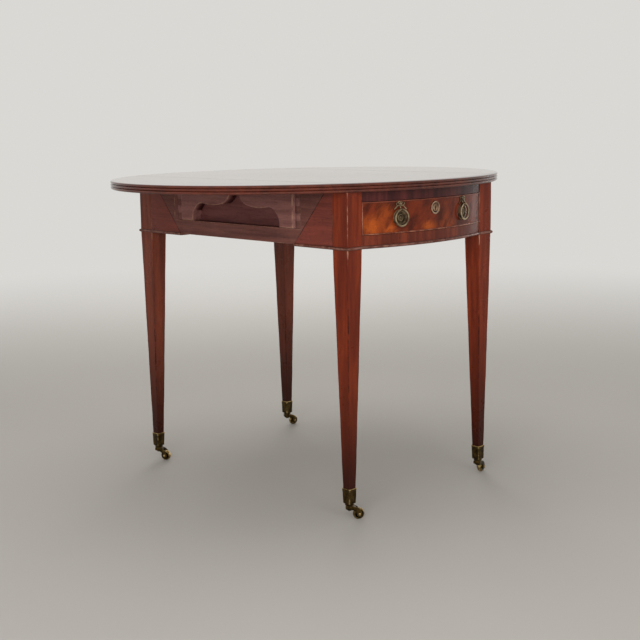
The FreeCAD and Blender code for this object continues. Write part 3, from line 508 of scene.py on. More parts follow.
@dataclass(frozen=True, kw_only=True)
class Timber(Finish):
    """A wood with straight grain, polished or dry.

    Below shade_below it darkens towards the floor with painted shade, below raw_below it has no polish, and above
    coat_above it has its full coat. Segments are lengths of banding in different tones. Where one of these is 0,
    it is left out.
    """

    light: Colour
    dark: Colour
    grain: Grain = Grain.ALONG_Z
    pore: Colour = paint(40, 16, 10)
    grime: Colour = paint(30, 17, 14)
    wear: float = 0.8
    glossy: float = 0.22
    dull: float = 0.42
    dry: float = 0.18
    coat: float = 0.06
    coat_roughness: float = 0.18
    specular: float = 0.2
    uneven: float = 0.2
    uneven_depth: float = 1.2
    pore_depth: float = 0.48
    segment: float = 0.0
    segment_tone: float = 0.55
    # Colour, strength and heights in millimetres of the painted shade towards the floor
    shade: Colour = paint(38, 9, 3)
    shade_depth: float = 0.95
    shade_full: float = 40.0
    shade_below: float = 0.0
    raw: float = 0.6
    raw_below: float = 0.0
    coat_above: float = 0.0
    polish_edge: float = 0.6

    def cut(self, grain: Grain) -> "Timber":
        """Gives the same wood with its grain one way, under a name of its own."""
        return replace(self, name=self.name + "_" + grain.name.lower(), grain=grain)

    def lay(self, bench: Bench, shader: bpy.types.Node, place: Feed) -> None:
        """Lays the figure, the tones of a banding and the painted shade at the foot, then the rest.

        Args:
            bench: The material's bench.
            shader: Its shader.
            place: The object coordinates.
        """
        along = bench.add("Mapping", {"Vector": place, "Scale": self.grain.value}).outputs[0]
        figure = add_group(bench, "figure", {"Along": along, "Light": self.light, "Dark": self.dark,
                                             "Pore": self.pore})
        colour = figure["Color"]
        if self.segment:
            number = bench.maths("FLOOR", bench.maths("DIVIDE", bench.axis(place, "X"), self.segment * MM))
            tone = bench.add("TexWhiteNoise", {"W": number}, noise_dimensions="1D").outputs["Value"]
            colour = bench.mix(bench.times(tone, self.segment_tone), colour, self.dark)
        # Painted shade: the colour darkens to the shade colour towards the floor
        if self.shade_below:
            low = bench.ramp(bench.axis(place, "Z"), self.shade_full * MM, self.shade_below * MM,
                             self.shade_depth, 0.0)
            colour = bench.mix(low, colour, self.shade)
        self.dress(bench, shader, place, colour, figure["Pores"])

    def dress(self, bench: Bench, shader: bpy.types.Node, place: Feed, colour: Feed, pores: Feed) -> None:
        """Adds wear, gloss and bump to a wood's colour.

        Args:
            bench: The material's bench.
            shader: Its shader.
            place: The object coordinates.
            colour: The wood's colour.
            pores: Where its pores are.
        """
        wear, handled = self.aged(bench, place, colour)
        relief = bench.maths("SUBTRACT", handled["Height"], bench.times(pores, self.pore_depth))
        bump = bench.add("Bump", {"Height": relief, "Strength": self.uneven,
                                  "Distance": self.uneven_depth * MM})
        rough = bench.plus(handled["Roughness"], bench.times(wear["Rub"], self.dry))
        if self.raw_below:
            raw = bench.ramp(bench.axis(place, "Z"), self.raw_below * MM,
                             (self.raw_below + self.polish_edge) * MM, self.raw, 0.0)
            rough = bench.plus(rough, raw)
        bench.feed(shader.inputs["Base Color"], wear["Color"])
        bench.feed(shader.inputs["Roughness"], rough)
        bench.feed(shader.inputs["Normal"], bump.outputs[0])
        shader.inputs["Specular IOR Level"].default_value = self.specular
        shader.inputs["Coat Weight"].default_value = self.coat
        shader.inputs["Coat Roughness"].default_value = self.coat_roughness
        if self.coat_above:
            coat = bench.ramp(bench.axis(place, "Z"), self.coat_above * MM,
                              (self.coat_above + self.polish_edge) * MM, 0.0, self.coat)
            bench.feed(shader.inputs["Coat Weight"], coat)


@dataclass(frozen=True, kw_only=True)
class FlameVeneer(Timber):
    """A veneer cut where a trunk forks: curling bands, with a glow at chosen places.

    Each patch of glow is X, Z, half its width, half its height and its strength.
    """

    glow: Colour
    patches: tuple[tuple[float, float, float, float, float], ...]
    lean: float = 0.95
    stretch: float = 0.45
    pore_share: float = 0.4

    def lay(self, bench: Bench, shader: bpy.types.Node, place: Feed) -> None:
        """Lays curls of noise bent by noise, the glow that fades from each patch, and the pores.

        Args:
            bench: The material's bench.
            shader: Its shader.
            place: The object coordinates.
        """
        leaning = bench.add("Mapping", {"Vector": place, "Rotation": (0.0, self.lean, 0.0)}).outputs[0]
        curl = bench.add("Mapping", {"Vector": leaning, "Scale": (self.stretch, 1.0, 1.0)}).outputs[0]
        broad = bench.noise(curl, scale=24.0, detail=3.0, roughness=0.5, distortion=1.4)
        fine = bench.noise(curl, scale=80.0, detail=4.0, roughness=0.55, distortion=1.0)
        bands = bench.ramp(bench.blend(broad, fine, 0.6), 0.38, 0.63)
        colour = bench.mix(bands, self.dark, self.light)
        glow: Feed = 0.0
        for x, z, wide, high, strength in self.patches:
            scale = (1 / (wide * MM), 0.0, 1 / (high * MM))
            shift = (-x / wide, 0.0, -z / high)
            away = bench.add("Mapping", {"Vector": place, "Scale": scale, "Location": shift}).outputs[0]
            length = bench.add("VectorMath", {0: away}, operation="LENGTH").outputs["Value"]
            glow = bench.maths("MAXIMUM", glow, bench.ramp(length, 0.15, 1.0, strength, 0.0))
        curls = bench.ramp(fine, 0.32, 0.64, 0.35, 0.95)
        colour = bench.mix(bench.times(glow, curls), colour, self.glow)
        pores = bench.ramp(bench.noise(curl, scale=700.0, detail=2.0, roughness=0.6), 0.56, 0.70)
        colour = bench.mix(bench.times(pores, self.pore_share), colour, self.pore)
        self.dress(bench, shader, place, colour, pores)


@dataclass(frozen=True, kw_only=True)
class OldMetal(Finish):
    """A metal with patina, bright where it is rubbed and dark in its hollows."""

    clean: Colour
    patina: Colour
    wear: float = 0.9
    glossy: float = 0.24
    dull: float = 0.5
    bright: float = 0.1
    uneven: float = 0.2
    uneven_depth: float = 0.6

    def lay(self, bench: Bench, shader: bpy.types.Node, place: Feed) -> None:
        """Lays patina in clouds, then wear, gloss and bump.

        Args:
            bench: The material's bench.
            shader: Its shader.
            place: The object coordinates.
        """
        cloud = bench.noise(place, scale=90.0, detail=6.0, roughness=0.65, distortion=0.3)
        colour = bench.mix(bench.ramp(cloud, 0.36, 0.64), self.patina, self.clean)
        wear, handled = self.aged(bench, place, colour)
        grain = bench.noise(place, scale=500.0)
        bump = bench.add("Bump", {"Height": grain, "Strength": self.uneven,
                                  "Distance": self.uneven_depth * MM})
        rough = bench.plus(handled["Roughness"], bench.times(wear["Rub"], -self.bright))
        bench.feed(shader.inputs["Base Color"], wear["Color"])
        bench.feed(shader.inputs["Roughness"], rough)
        bench.feed(shader.inputs["Normal"], bump.outputs[0])
        shader.inputs["Metallic"].default_value = 1.0


# Woods: polished on legs and beads, dry inside and on the fly rails, veneered on blocks and fronts

TOP_UNDER, TOP_FACE = (corner[2] for corner in span("fixed_top"))
# The legs' mahogany darkens below 400 mm, a painted shade towards the floor
MAHOGANY = Timber(
    name="mahogany", light=paint(142, 56, 26), dark=paint(98, 33, 16), rubbed=paint(190, 138, 112),
    grime=paint(58, 19, 10), wear=0.7, coat=0.0, specular=0.16, shade_below=400.0)
# A darker, greyer copy of the mahogany for the back legs: painted shade
SHADED_MAHOGANY = replace(
    MAHOGANY, name="dull_mahogany", light=paint(126, 61, 42), dark=paint(88, 41, 28),
    rubbed=paint(164, 118, 98), grime=paint(50, 22, 15))
BEAD_WOOD = Timber(
    name="bead_wood", light=paint(116, 66, 52), dark=paint(74, 41, 34), rubbed=paint(152, 108, 94), wear=0.65,
    coat=0.0, specular=0.16)
COCK_BEAD_WOOD = Timber(
    name="cock_bead_wood", grain=Grain.ALONG_X, light=paint(130, 66, 46), dark=paint(92, 44, 31),
    rubbed=paint(176, 120, 92))
BEECH = Timber(
    name="beech", light=paint(124, 77, 68), dark=paint(84, 50, 45), rubbed=paint(156, 118, 98), wear=0.85,
    glossy=0.5, dull=0.72, coat=0.0)
RUBBED_BEECH = replace(BEECH, name="rubbed_beech", light=paint(148, 99, 92), dark=paint(108, 68, 64))
PINE = replace(BEECH, name="pine", light=paint(122, 73, 69), dark=paint(88, 52, 50))
OAK = replace(BEECH, name="oak", light=paint(160, 122, 82), dark=paint(118, 84, 54))
# The top's rubbed colour also paints the highlight on the rim's lowest reed
TOP_WOOD = Timber(
    name="polished_top", grain=Grain.ALONG_Y, light=paint(104, 44, 27), dark=paint(68, 27, 16),
    rubbed=paint(164, 118, 94), wear=0.5, glossy=0.05, dull=0.09, coat=0.55, coat_roughness=0.06,
    specular=0.46, uneven=0.03, coat_above=TOP_FACE - 1.0, raw_below=TOP_UNDER + 0.2)
BLOCK_WOOD = Timber(
    name="block_veneer", grain=Grain.ALONG_Y, light=paint(130, 62, 50), dark=paint(92, 43, 35),
    rubbed=paint(150, 90, 68), wear=0.7, coat=0.0, specular=0.16)
TOP_BAND = Timber(
    name="dark_crossbanding", light=paint(96, 46, 42), dark=paint(56, 28, 28), rubbed=paint(122, 80, 66),
    glossy=0.10, dull=0.18, coat=0.0, specular=0.12, uneven=0.08, segment=57.0)
FOOT_BAND = replace(
    TOP_BAND, name="red_crossbanding", light=paint(136, 62, 40), dark=paint(84, 38, 28),
    rubbed=paint(146, 92, 68), segment=66.0)
FLAME = FlameVeneer(
    name="flame_figure", light=paint(118, 47, 23), dark=paint(72, 28, 17), rubbed=paint(178, 104, 60),
    glossy=0.10, dull=0.18, coat=0.0, specular=0.12, uneven=0.08, glow=paint(178, 84, 30),
    patches=((-174.0, 620.0, 34.0, 36.0, 1.0), (-142.0, 632.0, 36.0, 50.0, 0.5),
             (-130.0, 612.0, 26.0, 18.0, 1.0), (-18.0, 615.0, 34.0, 15.0, 1.0),
             (48.0, 614.0, 46.0, 18.0, 0.35), (36.0, 640.0, 16.0, 40.0, 0.25)))

# Metals

BRASS = OldMetal(
    name="antique_brass", clean=paint(132, 112, 86), patina=paint(74, 61, 46), rubbed=paint(186, 165, 130),
    grime=paint(24, 19, 14))
RING_BRASS = OldMetal(
    name="handled_brass", clean=paint(148, 128, 100), patina=paint(104, 88, 67), rubbed=paint(190, 169, 136),
    grime=paint(36, 29, 21))
# Its grime colour also paints the shade on the keyhole's floor
ROSE_BRASS = OldMetal(
    name="rubbed_brass", clean=paint(176, 142, 116), patina=paint(124, 95, 75), rubbed=paint(206, 178, 150),
    grime=paint(38, 28, 22))
# Its rubbed colour also paints the glints on the cups' corners
CASTER_BRASS = OldMetal(
    name="cast_brass", clean=paint(92, 73, 38), patina=paint(48, 37, 19), rubbed=paint(200, 172, 116),
    grime=paint(20, 15, 9))
IRON = OldMetal(
    name="wrought_iron", clean=paint(70, 62, 56), patina=paint(44, 38, 34), rubbed=paint(112, 104, 98),
    grime=paint(24, 18, 15), glossy=0.45, dull=0.7)


# Pieces

def settle(obj: bpy.types.Object, finish: Finish, node: str, body: str) -> None:
    """Dresses a piece, puts it on its body and lets it stand for its node.

    Args:
        obj: The piece.
        finish: Its finish.
        node: The node that it stands for, if there is one.
        body: The body that it moves with, where there is no node.
    """
    bpy.context.scene.collection.objects.link(obj)
    obj.data.materials.clear()
    obj.data.materials.append(finish.material())
    if node:
        body = BODY_OF[node]
        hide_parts(node)
    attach(obj, body)
    log.info("%s rides on %s with %d faces", obj.name, body, len(obj.data.polygons))


def fill_mesh(mesh: bpy.types.Mesh, shell: bmesh.types.BMesh, sharp: float) -> None:
    """Puts a shell into its mesh and shades it smooth.

    Args:
        mesh: The mesh.
        shell: The shell, which is freed.
        sharp: Edges over this many degrees stay sharp.
    """
    shell.to_mesh(mesh)
    shell.free()
    mesh.shade_smooth()
    mesh.set_sharp_from_angle(angle=np.radians(sharp))


def make_piece(name: str, skins: Sequence[Skin], finish: Finish, node: str = "", body: str = "",
               sharp: float = 40.0) -> None:
    """Puts surfaces into one mesh with its doubles merged and its faces pointing out.

    Args:
        name: Name of the piece.
        skins: Its surfaces, in millimetres.
        finish: Its finish.
        node: The node that it stands for, if there is one.
        body: The body that it moves with, where there is no node.
        sharp: Edges over this many degrees stay sharp.
    """
    starts = np.cumsum([0] + [len(skin.points) for skin in skins[:-1]])
    faces = [face for skin, start in zip(skins, starts) for face in (skin.quads + start).tolist()]
    faces += [(np.array(cap) + start).tolist() for skin, start in zip(skins, starts) for cap in skin.caps]
    mesh = bpy.data.meshes.new(name)
    mesh.from_pydata(np.concatenate([skin.points for skin in skins]) * MM, [], faces)
    worn = mesh.attributes.new("worn", "FLOAT", "POINT")
    worn.data.foreach_set("value", np.concatenate([skin.worn for skin in skins]).astype(np.float32))
    shell = bmesh.new()
    shell.from_mesh(mesh)
    bmesh.ops.remove_doubles(shell, verts=shell.verts, dist=MERGE)
    bmesh.ops.dissolve_degenerate(shell, edges=shell.edges, dist=MERGE)
    bmesh.ops.recalc_face_normals(shell, faces=shell.faces)
    fill_mesh(mesh, shell, sharp)
    settle(bpy.data.objects.new(name, mesh), finish, node, body)


@dataclass(frozen=True)
class Easing:
    """How the edges of a copied node are rounded.

    The width is in millimetres. Straight and slanting say how worn those edges are, and outer keeps the
    rounding to the edges of the face towards the table's side. Angles are in degrees.
    """

    width: float
    straight: float = 1.0
    slanting: float = 1.0
    outer: bool = False
    segments: int = 3
    flat: float = 0.5
    turn: float = 30.0
    sharp: float = 35.0
    face_depth: float = 0.01
    slant: float = 0.3

    def edges(self, shell: bmesh.types.BMesh) -> list[bmesh.types.BMEdge]:
        """Finds the edges to round.

        Args:
            shell: The merged copy of the node's mesh.

        Returns:
            Its convex edges, or those of them on the outer face.
        """
        turn = np.radians(self.turn)
        edges = [edge for edge in shell.edges
                 if edge.is_manifold and edge.is_convex and edge.calc_face_angle() > turn]
        if not self.outer:
            return edges
        face_x = max(abs(vertex.co.x) for vertex in shell.verts) - self.face_depth * MM
        return [edge for edge in edges if min(abs(vertex.co.x) for vertex in edge.verts) > face_x]

    def wear_of(self, face: bmesh.types.BMFace) -> float:
        """Gives the wear of a rounded strip, from the way its longest side runs.

        Args:
            face: The strip's face.

        Returns:
            Its wear.
        """
        longest = max(face.edges, key=lambda side: side.calc_length())
        step = longest.verts[1].co - longest.verts[0].co
        leans = min(abs(step.y), abs(step.z)) > self.slant * longest.calc_length()
        return self.slanting if leans else self.straight


def eased_copy(node: str, finish: Finish, easing: Easing) -> None:
    """Copies a node's mesh, merges it and rounds its edges.

    Args:
        node: The node that the copy stands for.
        finish: Its finish.
        easing: How its edges are rounded.
    """
    shell = bmesh.new()
    shell.from_mesh(frame["nodes"][node].data)
    bmesh.ops.remove_doubles(shell, verts=shell.verts, dist=COPY_MERGE)
    bmesh.ops.dissolve_limit(shell, angle_limit=np.radians(easing.flat), verts=shell.verts, edges=shell.edges)
    made = bmesh.ops.bevel(shell, geom=easing.edges(shell), offset=easing.width * MM, offset_type="OFFSET",
                           segments=easing.segments, profile=0.5, affect="EDGES",
                           clamp_overlap=not easing.outer)
    layer = shell.loops.layers.float.new("worn")
    for face in made["faces"]:
        worn = easing.wear_of(face)
        for loop in face.loops:
            loop[layer] = worn
    mesh = bpy.data.meshes.new(node + "_eased")
    fill_mesh(mesh, shell, easing.sharp)
    piece = bpy.data.objects.new(node + "_eased", mesh)
    settle(piece, finish, node, "")
    weighted = piece.modifiers.new("weighted", "WEIGHTED_NORMAL")
    weighted.keep_sharp = True


def dress_node(node: str, finish: Finish) -> None:
    """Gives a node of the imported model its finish.

    Args:
        node: The node.
        finish: Its finish.
    """
    obj = frame["nodes"][node]
    material = finish.material()
    if not obj.material_slots:
        obj.data.materials.append(material)
    for place in obj.material_slots:
        place.material = material
    log.info("%s keeps its packed shape, with finish %s", node, material.name)


# Oval top

@dataclass
class OvalTop:
    """The fixed top and the two flaps: one oval with a reeded edge, parted by rule joints.

    The lip is the rounded arris at a joint: how far in from the joint, how far down and how worn each of its
    points is, the first two in shares of the arris.
    """

    finish: Timber = TOP_WOOD
    sharp: float = 33.0
    reeds: int = 3
    reed_depth: float = 2.4
    reed_steps: int = 10
    # Rub of each reed from the bottom; the lowest reed's is also a painted highlight along the rim's lower edge,
    # and the top reed is darkened
    reed_rub_and_highlight: tuple[float, ...] = (0.45, 0.3, -0.35)
    hollow_grime: float = 0.9
    rim_wear: float = 0.3
    rim_height: float = 0.2
    rule_step: float = 3.0
    rule_gap: float = 0.3
    rule_foot: float = 0.2
    arris: float = 0.8
    lip_in: tuple[float, ...] = (0.0, 0.3, 1.0, 2.0)
    lip_down: tuple[float, ...] = (1.0, 0.3, 0.0, 0.0)
    lip_wear: tuple[float, ...] = (-1.0, -1.0, -0.8, -0.3)
    upper_round_wear: float = -0.5
    lower_round_wear: float = -0.2
    fixed_leaf: float = 34.0
    flap_leaf: float = 52.0
    leaf_width: float = 38.0
    leaf_thick: float = 2.0
    barrel: float = 3.5
    side_room: float = 0.4
    hinge_room: float = 20.0
    hollow_start: float = 75.0
    tip_rows: int = 56
    top_columns: int = 27
    follow_from: float = 300.0
    follow_over: float = 150.0
    ripple: float = 0.22
    ripple_x: float = 83.0
    ripple_y: float = 117.0
    ripple_shift_x: float = 1.0
    ripple_shift_y: float = 0.6

    def __post_init__(self) -> None:
        """Reads the oval's box, the joint and the hinges from the frame."""
        low, high = span("fixed_top")
        leaf_low, leaf_high = span("top_hinge_leaves")
        pin = joint_place("right_flap_hinge")
        self.under, self.top = low[2], high[2]
        self.half_length = high[1]
        self.half_width = span("right_flap")[1][0]
        self.root = self.half_width * (1 - self.reed_depth / self.half_length)
        self.reed = (self.top - self.under) / self.reeds
        self.reed_radius = (self.reed ** 2 / 4 + self.reed_depth ** 2) / (2 * self.reed_depth)
        self.joint_x, self.pin_z = pin[0], pin[2]
        self.rule = self.top - self.rule_step - self.pin_z
        self.leaf_top = leaf_low[2] + self.leaf_thick
        self.hinge_y = leaf_high[1] - self.leaf_width / 2

    def edge_heights(self) -> Array:
        """Gives heights up the edge, evenly spaced round the arc of each reed."""
        reach = np.arcsin(self.reed / 2 / self.reed_radius)
        arc = self.reed_radius * np.sin(np.linspace(-reach, reach, self.reed_steps)) + self.reed / 2
        heights = self.under + arc + self.reed * np.arange(self.reeds)[:, None]
        return np.unique(np.round(heights.ravel(), 6))

    def edge_depth(self, height: Array) -> Array:
        """Gives the depth of the edge below its crests: a circle's arc over each reed."""
        across = np.mod(height - self.under, self.reed) - self.reed / 2
        return self.reed_radius - np.sqrt(self.reed_radius ** 2 - across ** 2)

    def edge_wear(self, height: Array, depth: Array) -> Array:
        """Gives the wear of the edge: each crest by its reed, grime in the hollows, and a rubbed rim.

        Args:
            height: Heights up the edge.
            depth: Depth of the edge there.

        Returns:
            The wear there.
        """
        crest = 1 - depth / self.reed_depth
        lift = (height - self.under) / (self.top - self.under)
        reed = np.clip((lift * self.reeds).astype(int), 0, self.reeds - 1)
        # The lowest reed's rub is partly a painted highlight; the top reed is darkened
        handled = np.array(self.reed_rub_and_highlight)[reed]
        rim = self.rim_wear * (height > self.top - self.rim_height)
        return handled * crest ** 3 - self.hollow_grime * (1 - crest) ** 3 + rim

    def stations(self, x: Sequence[float] | Array, low: Array | float, high: Array | float,
                 sink: Array | float, worn: Array | float) -> Array:
        """Puts places across the joint, their heights, hinge sinkings and wear into one array."""
        columns = np.broadcast_arrays(np.asarray(x, float), low, high, sink, worn)
        return np.stack(columns, -1).astype(float)

    def fixed_stations(self) -> Array:
        """Gives stations across the fixed top: flat to the joint, a lip, then the round of the rule joint."""
        under, top, joint = self.under, self.top, self.joint_x
        mortise = self.pin_z + self.barrel
        start = joint - self.fixed_leaf
        room = joint - self.barrel
        turn = np.arccos(self.barrel / self.rule)
        near = np.linspace(RIGHT_ANGLE, turn, 4)
        far = np.linspace(turn, 0.0, 16)
        foot = np.clip(self.pin_z - self.rule * np.sin(far), under, self.pin_z - self.rule_foot)
        lip_x = joint - np.array(self.lip_in[::-1]) * self.arris
        lip_high = top - np.array(self.lip_down[::-1]) * self.arris
        right = np.concatenate([
            self.stations(np.linspace(0.0, start, 15), under, top, under, 0.0),
            self.stations(np.linspace(start, room, 4), under, top, self.leaf_top, 0.0),
            self.stations([room], under, top, mortise, 0.0),
            self.stations(lip_x, under, lip_high, mortise, self.lip_wear[::-1]),
            self.stations(joint + self.rule * np.cos(near), under, self.pin_z + self.rule * np.sin(near),
                          mortise, self.upper_round_wear),
            self.stations(joint + self.rule * np.cos(far), foot, self.pin_z + self.rule * np.sin(far),
                          self.leaf_top + self.rule_gap, self.lower_round_wear)])
        left = right[:0:-1] * np.array([-1.0, 1.0, 1.0, 1.0, 1.0])
        return np.concatenate([left, right])

    def flap_stations(self) -> Array:
        """Gives stations across the right flap: the hollow of the rule joint, the leaves, then the tip."""
        under, top, joint = self.under, self.top, self.joint_x
        radius = self.rule + self.rule_gap
        lip = self.rule_gap + np.array(self.lip_in) * self.arris
        hollow = radius * np.cos(np.linspace(np.radians(self.hollow_start), 0.0, 10))
        across = np.concatenate([lip, hollow])
        low = self.pin_z + np.sqrt(radius ** 2 - across ** 2)
        high = np.full(len(across), top)
        high[:len(lip)] -= np.array(self.lip_down) * self.arris
        worn = np.zeros(len(across))
        worn[:len(lip)] = self.lip_wear
        end = joint + self.flap_leaf
        sweep = self.root * np.cos(np.linspace(np.arccos(end / self.root), 0.0, self.tip_rows))
        return np.concatenate([
            self.stations(joint + across, low, high, low, worn),
            self.stations(np.linspace(joint + radius, end, 5), under, top, self.leaf_top, 0.0),
            self.stations(sweep, under, top, under, 0.0)])

    def hinge_lines(self) -> tuple[Array, Array]:
        """Gives the lines where the hinges' sinkings start and end underneath, and which lines are sunk."""
        half = self.leaf_width / 2 + self.side_room
        hinges = np.array([self.hinge_y, 0.0, -self.hinge_y])[:, None]
        lines = (hinges + np.array([half, half, -half, -half])).ravel()
        return lines, np.tile([False, True, True, False], len(hinges))

    def board(self, stations: Array, tip: bool, sign: float) -> Skin:
        """Sweeps the board's outline across the stations.

        Each outline goes up the front edge, over the top, down the back edge and along the underside. At
        depth d the edge is y = (b - d) x root of 1 - (x / long half)^2, with the oval's long half shortened
        in proportion, and towards the tip x moves out with the reeds. The upper face ripples by two sines.

        Args:
            stations: Place, low, high, hinge sinking and wear of each outline.
            tip: Whether the last outline closes to a point.
            sign: 1 for the right and -1 for the left.

        Returns:
            The board's surface.
        """
        x, low, high, sink, rub = (column[:, None] for column in stations.T)
        z = np.clip(self.edge_heights()[None], low, high)
        depth = self.edge_depth(z)
        long_half = self.half_width * (1 - depth / self.half_length)
        follow = smooth((np.abs(x) - self.follow_from) / self.follow_over)
        edge_x = x + follow * (long_half - self.root) * x / self.root
        edge_y = (self.half_length - depth) * np.sqrt(np.clip(1 - (edge_x / long_half) ** 2, 0.0, None))
        top_y = np.linspace(-1.0, 1.0, self.top_columns + 2)[None, 1:-1] * edge_y[:, -1:]
        lines, sunk = self.hinge_lines()
        under_y = lines[None] * np.minimum(1.0, edge_y[:, :1] / (lines.max() + self.hinge_room))
        under_z = np.where(sunk[None], np.maximum(sink, low), low)
        top_x = np.repeat(edge_x[:, -1:], self.top_columns, 1)
        under_x = np.repeat(edge_x[:, :1], len(lines), 1)
        top_z = np.repeat(high, self.top_columns, 1)
        grid_x = np.concatenate([edge_x, top_x, edge_x[:, ::-1], under_x], 1)
        grid_y = np.concatenate([-edge_y, top_y, edge_y[:, ::-1], under_y], 1)
        grid_z = np.concatenate([z, top_z, z[:, ::-1], under_z], 1)
        lift = (grid_z - self.under) / (self.top - self.under)
        waves = (np.sin(grid_x / self.ripple_x + self.ripple_shift_x)
                 * np.sin(grid_y / self.ripple_y + self.ripple_shift_y))
        grid = np.stack([grid_x * sign, grid_y, grid_z + self.ripple * lift * waves], -1)
        edge_worn = self.edge_wear(z, depth)
        top_worn = np.repeat(rub, self.top_columns, 1)
        worn = np.concatenate([edge_worn, top_worn, edge_worn[:, ::-1], np.zeros(under_y.shape)], 1)
        return skin_of(grid, worn, caps=(True, not tip))

    def build(self) -> None:
        """Makes the three boards."""
        boards = {"fixed_top": self.board(self.fixed_stations(), False, 1.0)}
        for side, sign in SIDES.items():
            boards[side + "_flap"] = self.board(self.flap_stations(), True, sign)
        for node, skin in boards.items():
            make_piece(node + "_board", [skin], self.finish, node, sharp=self.sharp)


# Legs, beads and sides

# Wear round a square section, which also carries painted shade and painted glints: a flat point, five points of
# the rounded corner and a flat point, four times
CORNER_WEAR_SHADE_AND_GLINT = np.tile([0.0, 0.8, 1.0, 1.0, 1.0, 0.8, 0.0], 4)[None]


@dataclass
class Legs:
    """The four legs: square heads, then tapered shafts with slightly rubbed corners, in painted shade lower down.

    Each waver of the corners is its share of their radius, its length and how far it shifts from leg to leg.
    """

    finish: Timber = MAHOGANY.cut(Grain.ALONG_Z)
    # The back legs take the darker copy, as painted shade
    back_finish: Timber = SHADED_MAHOGANY.cut(Grain.ALONG_Z)
    sharp: float = 50.0
    foot: float = 19.5
    outer_taper: float = 7.5
    arris: float = 1.3
    head_arris: float = 0.7
    margin: float = 2.2
    shaft_rows: int = 60
    head_rows: int = 14
    head_gap: float = 0.5
    wavers: tuple[tuple[float, float, float], ...] = ((0.3, 29.0, 2.1), (0.2, 11.0, 1.3))
    head_wear: float = 0.7
    shoulder_wear: float = 2.5
    shoulder_fade: float = 60.0
    # Depth of the painted shade along the corners below the shoulder
    shaft_grime: float = 0.9
    patchy: float = 0.2
    patch_length: float = 47.0
    stain: float = 0.25
    stain_height: float = 415.0
    stain_step: float = 60.0
    stain_reach: float = 38.0

    def __post_init__(self) -> None:
        """Reads the front left leg's box and the heights of the shoulder and of the cup's rim."""
        self.low, self.high = span("leg_front_left")
        self.side = self.high[0] - self.low[0]
        self.shoulder = span("front_bottom_rail")[0][2]
        self.cup_top = span("caster_cups")[1][2]

    def share(self, z: Array) -> Array:
        """Gives the share of the taper at a height, 0 at the shoulder and 1 at the cup's rim."""
        return np.maximum(0.0, (self.shoulder - z) / (self.shoulder - self.cup_top))

    def section(self, z: Array, grow: Array | float, arris: Array | float, corner: str) -> Array:
        """Gives squares with rounded corners at several heights.

        One corner is an arc with a flat point on each side of it. A square has four, each a right angle on.

        Args:
            z: Heights of the squares.
            grow: How far each stands out from the leg.
            arris: Radius of each square's corners.
            corner: Which leg.

        Returns:
            Points of each square in the frame, shape (heights, points, 3).
        """
        half = self.side / 2 - self.share(z) * (self.side - self.foot) / 2 + grow
        radius = np.broadcast_to(arris, z.shape)[:, None]
        angle = np.linspace(0.0, RIGHT_ANGLE, 5)
        inner = half[:, None] - radius
        margin = np.minimum(self.margin, inner)
        arc = np.stack([inner + radius * np.cos(angle), inner + radius * np.sin(angle)], -1)
        before = np.stack([inner + radius, inner - margin], -1)
        after = np.stack([inner - margin, inner + radius], -1)
        first = np.concatenate([before, arc, after], 1)
        quarter = np.array([[0.0, 1.0], [-1.0, 0.0]])
        square = np.concatenate([first @ np.linalg.matrix_power(quarter, turn) for turn in range(4)], 1)
        outer = self.low[:2] + self.share(z)[:, None] * self.outer_taper
        middle = outer - np.reshape(grow, (-1, 1)) + half[:, None]
        flat = square + middle[:, None]
        heights = np.broadcast_to(z[:, None, None], (*flat.shape[:2], 1))
        return np.concatenate([flat, heights], -1) * corner_flip(corner)

    def build(self) -> None:
        """Makes the legs.

        On a shaft the corners are rubbed pale at the shoulder, and the wear fades by a power of e to painted shade
        lower down, with a dark stretch shaped like a bell. The radius of the corners wavers by sines.
        """
        shaft = np.linspace(self.low[2], self.shoulder - self.head_gap, self.shaft_rows)
        head = np.linspace(self.shoulder, self.high[2], self.head_rows)
        z = np.concatenate([shaft, head])
        # Corners rubbed pale at the shoulder, turning to painted shade along the lower corners
        fading = self.shoulder_wear * np.exp((z - self.shoulder) / self.shoulder_fade) - self.shaft_grime
        bared_and_shaded = np.where(z < self.shoulder, fading, self.head_wear)
        for number, corner in enumerate(CORNERS):
            waves = (share * np.sin(z / length + shift * number) for share, length, shift in self.wavers)
            uneven = sum(waves, start=1.0)
            arris = np.where(z < self.shoulder, self.arris, self.head_arris * self.arris) * uneven
            away = z - self.stain_height + self.stain_step * number
            stain = self.stain * np.exp(-(away / self.stain_reach) ** 2)
            patches = 1 - self.patchy + self.patchy * np.sin(z / self.patch_length + number)
            worn = CORNER_WEAR_SHADE_AND_GLINT * (bared_and_shaded * patches - stain)[:, None]
            skin = skin_of(self.section(z, 0.0, arris, corner), worn, caps=(True, True))
            finish = self.finish if corner.startswith("front") else self.back_finish
            make_piece("leg_shaft_" + corner, [skin], finish, "leg_" + corner, sharp=self.sharp)


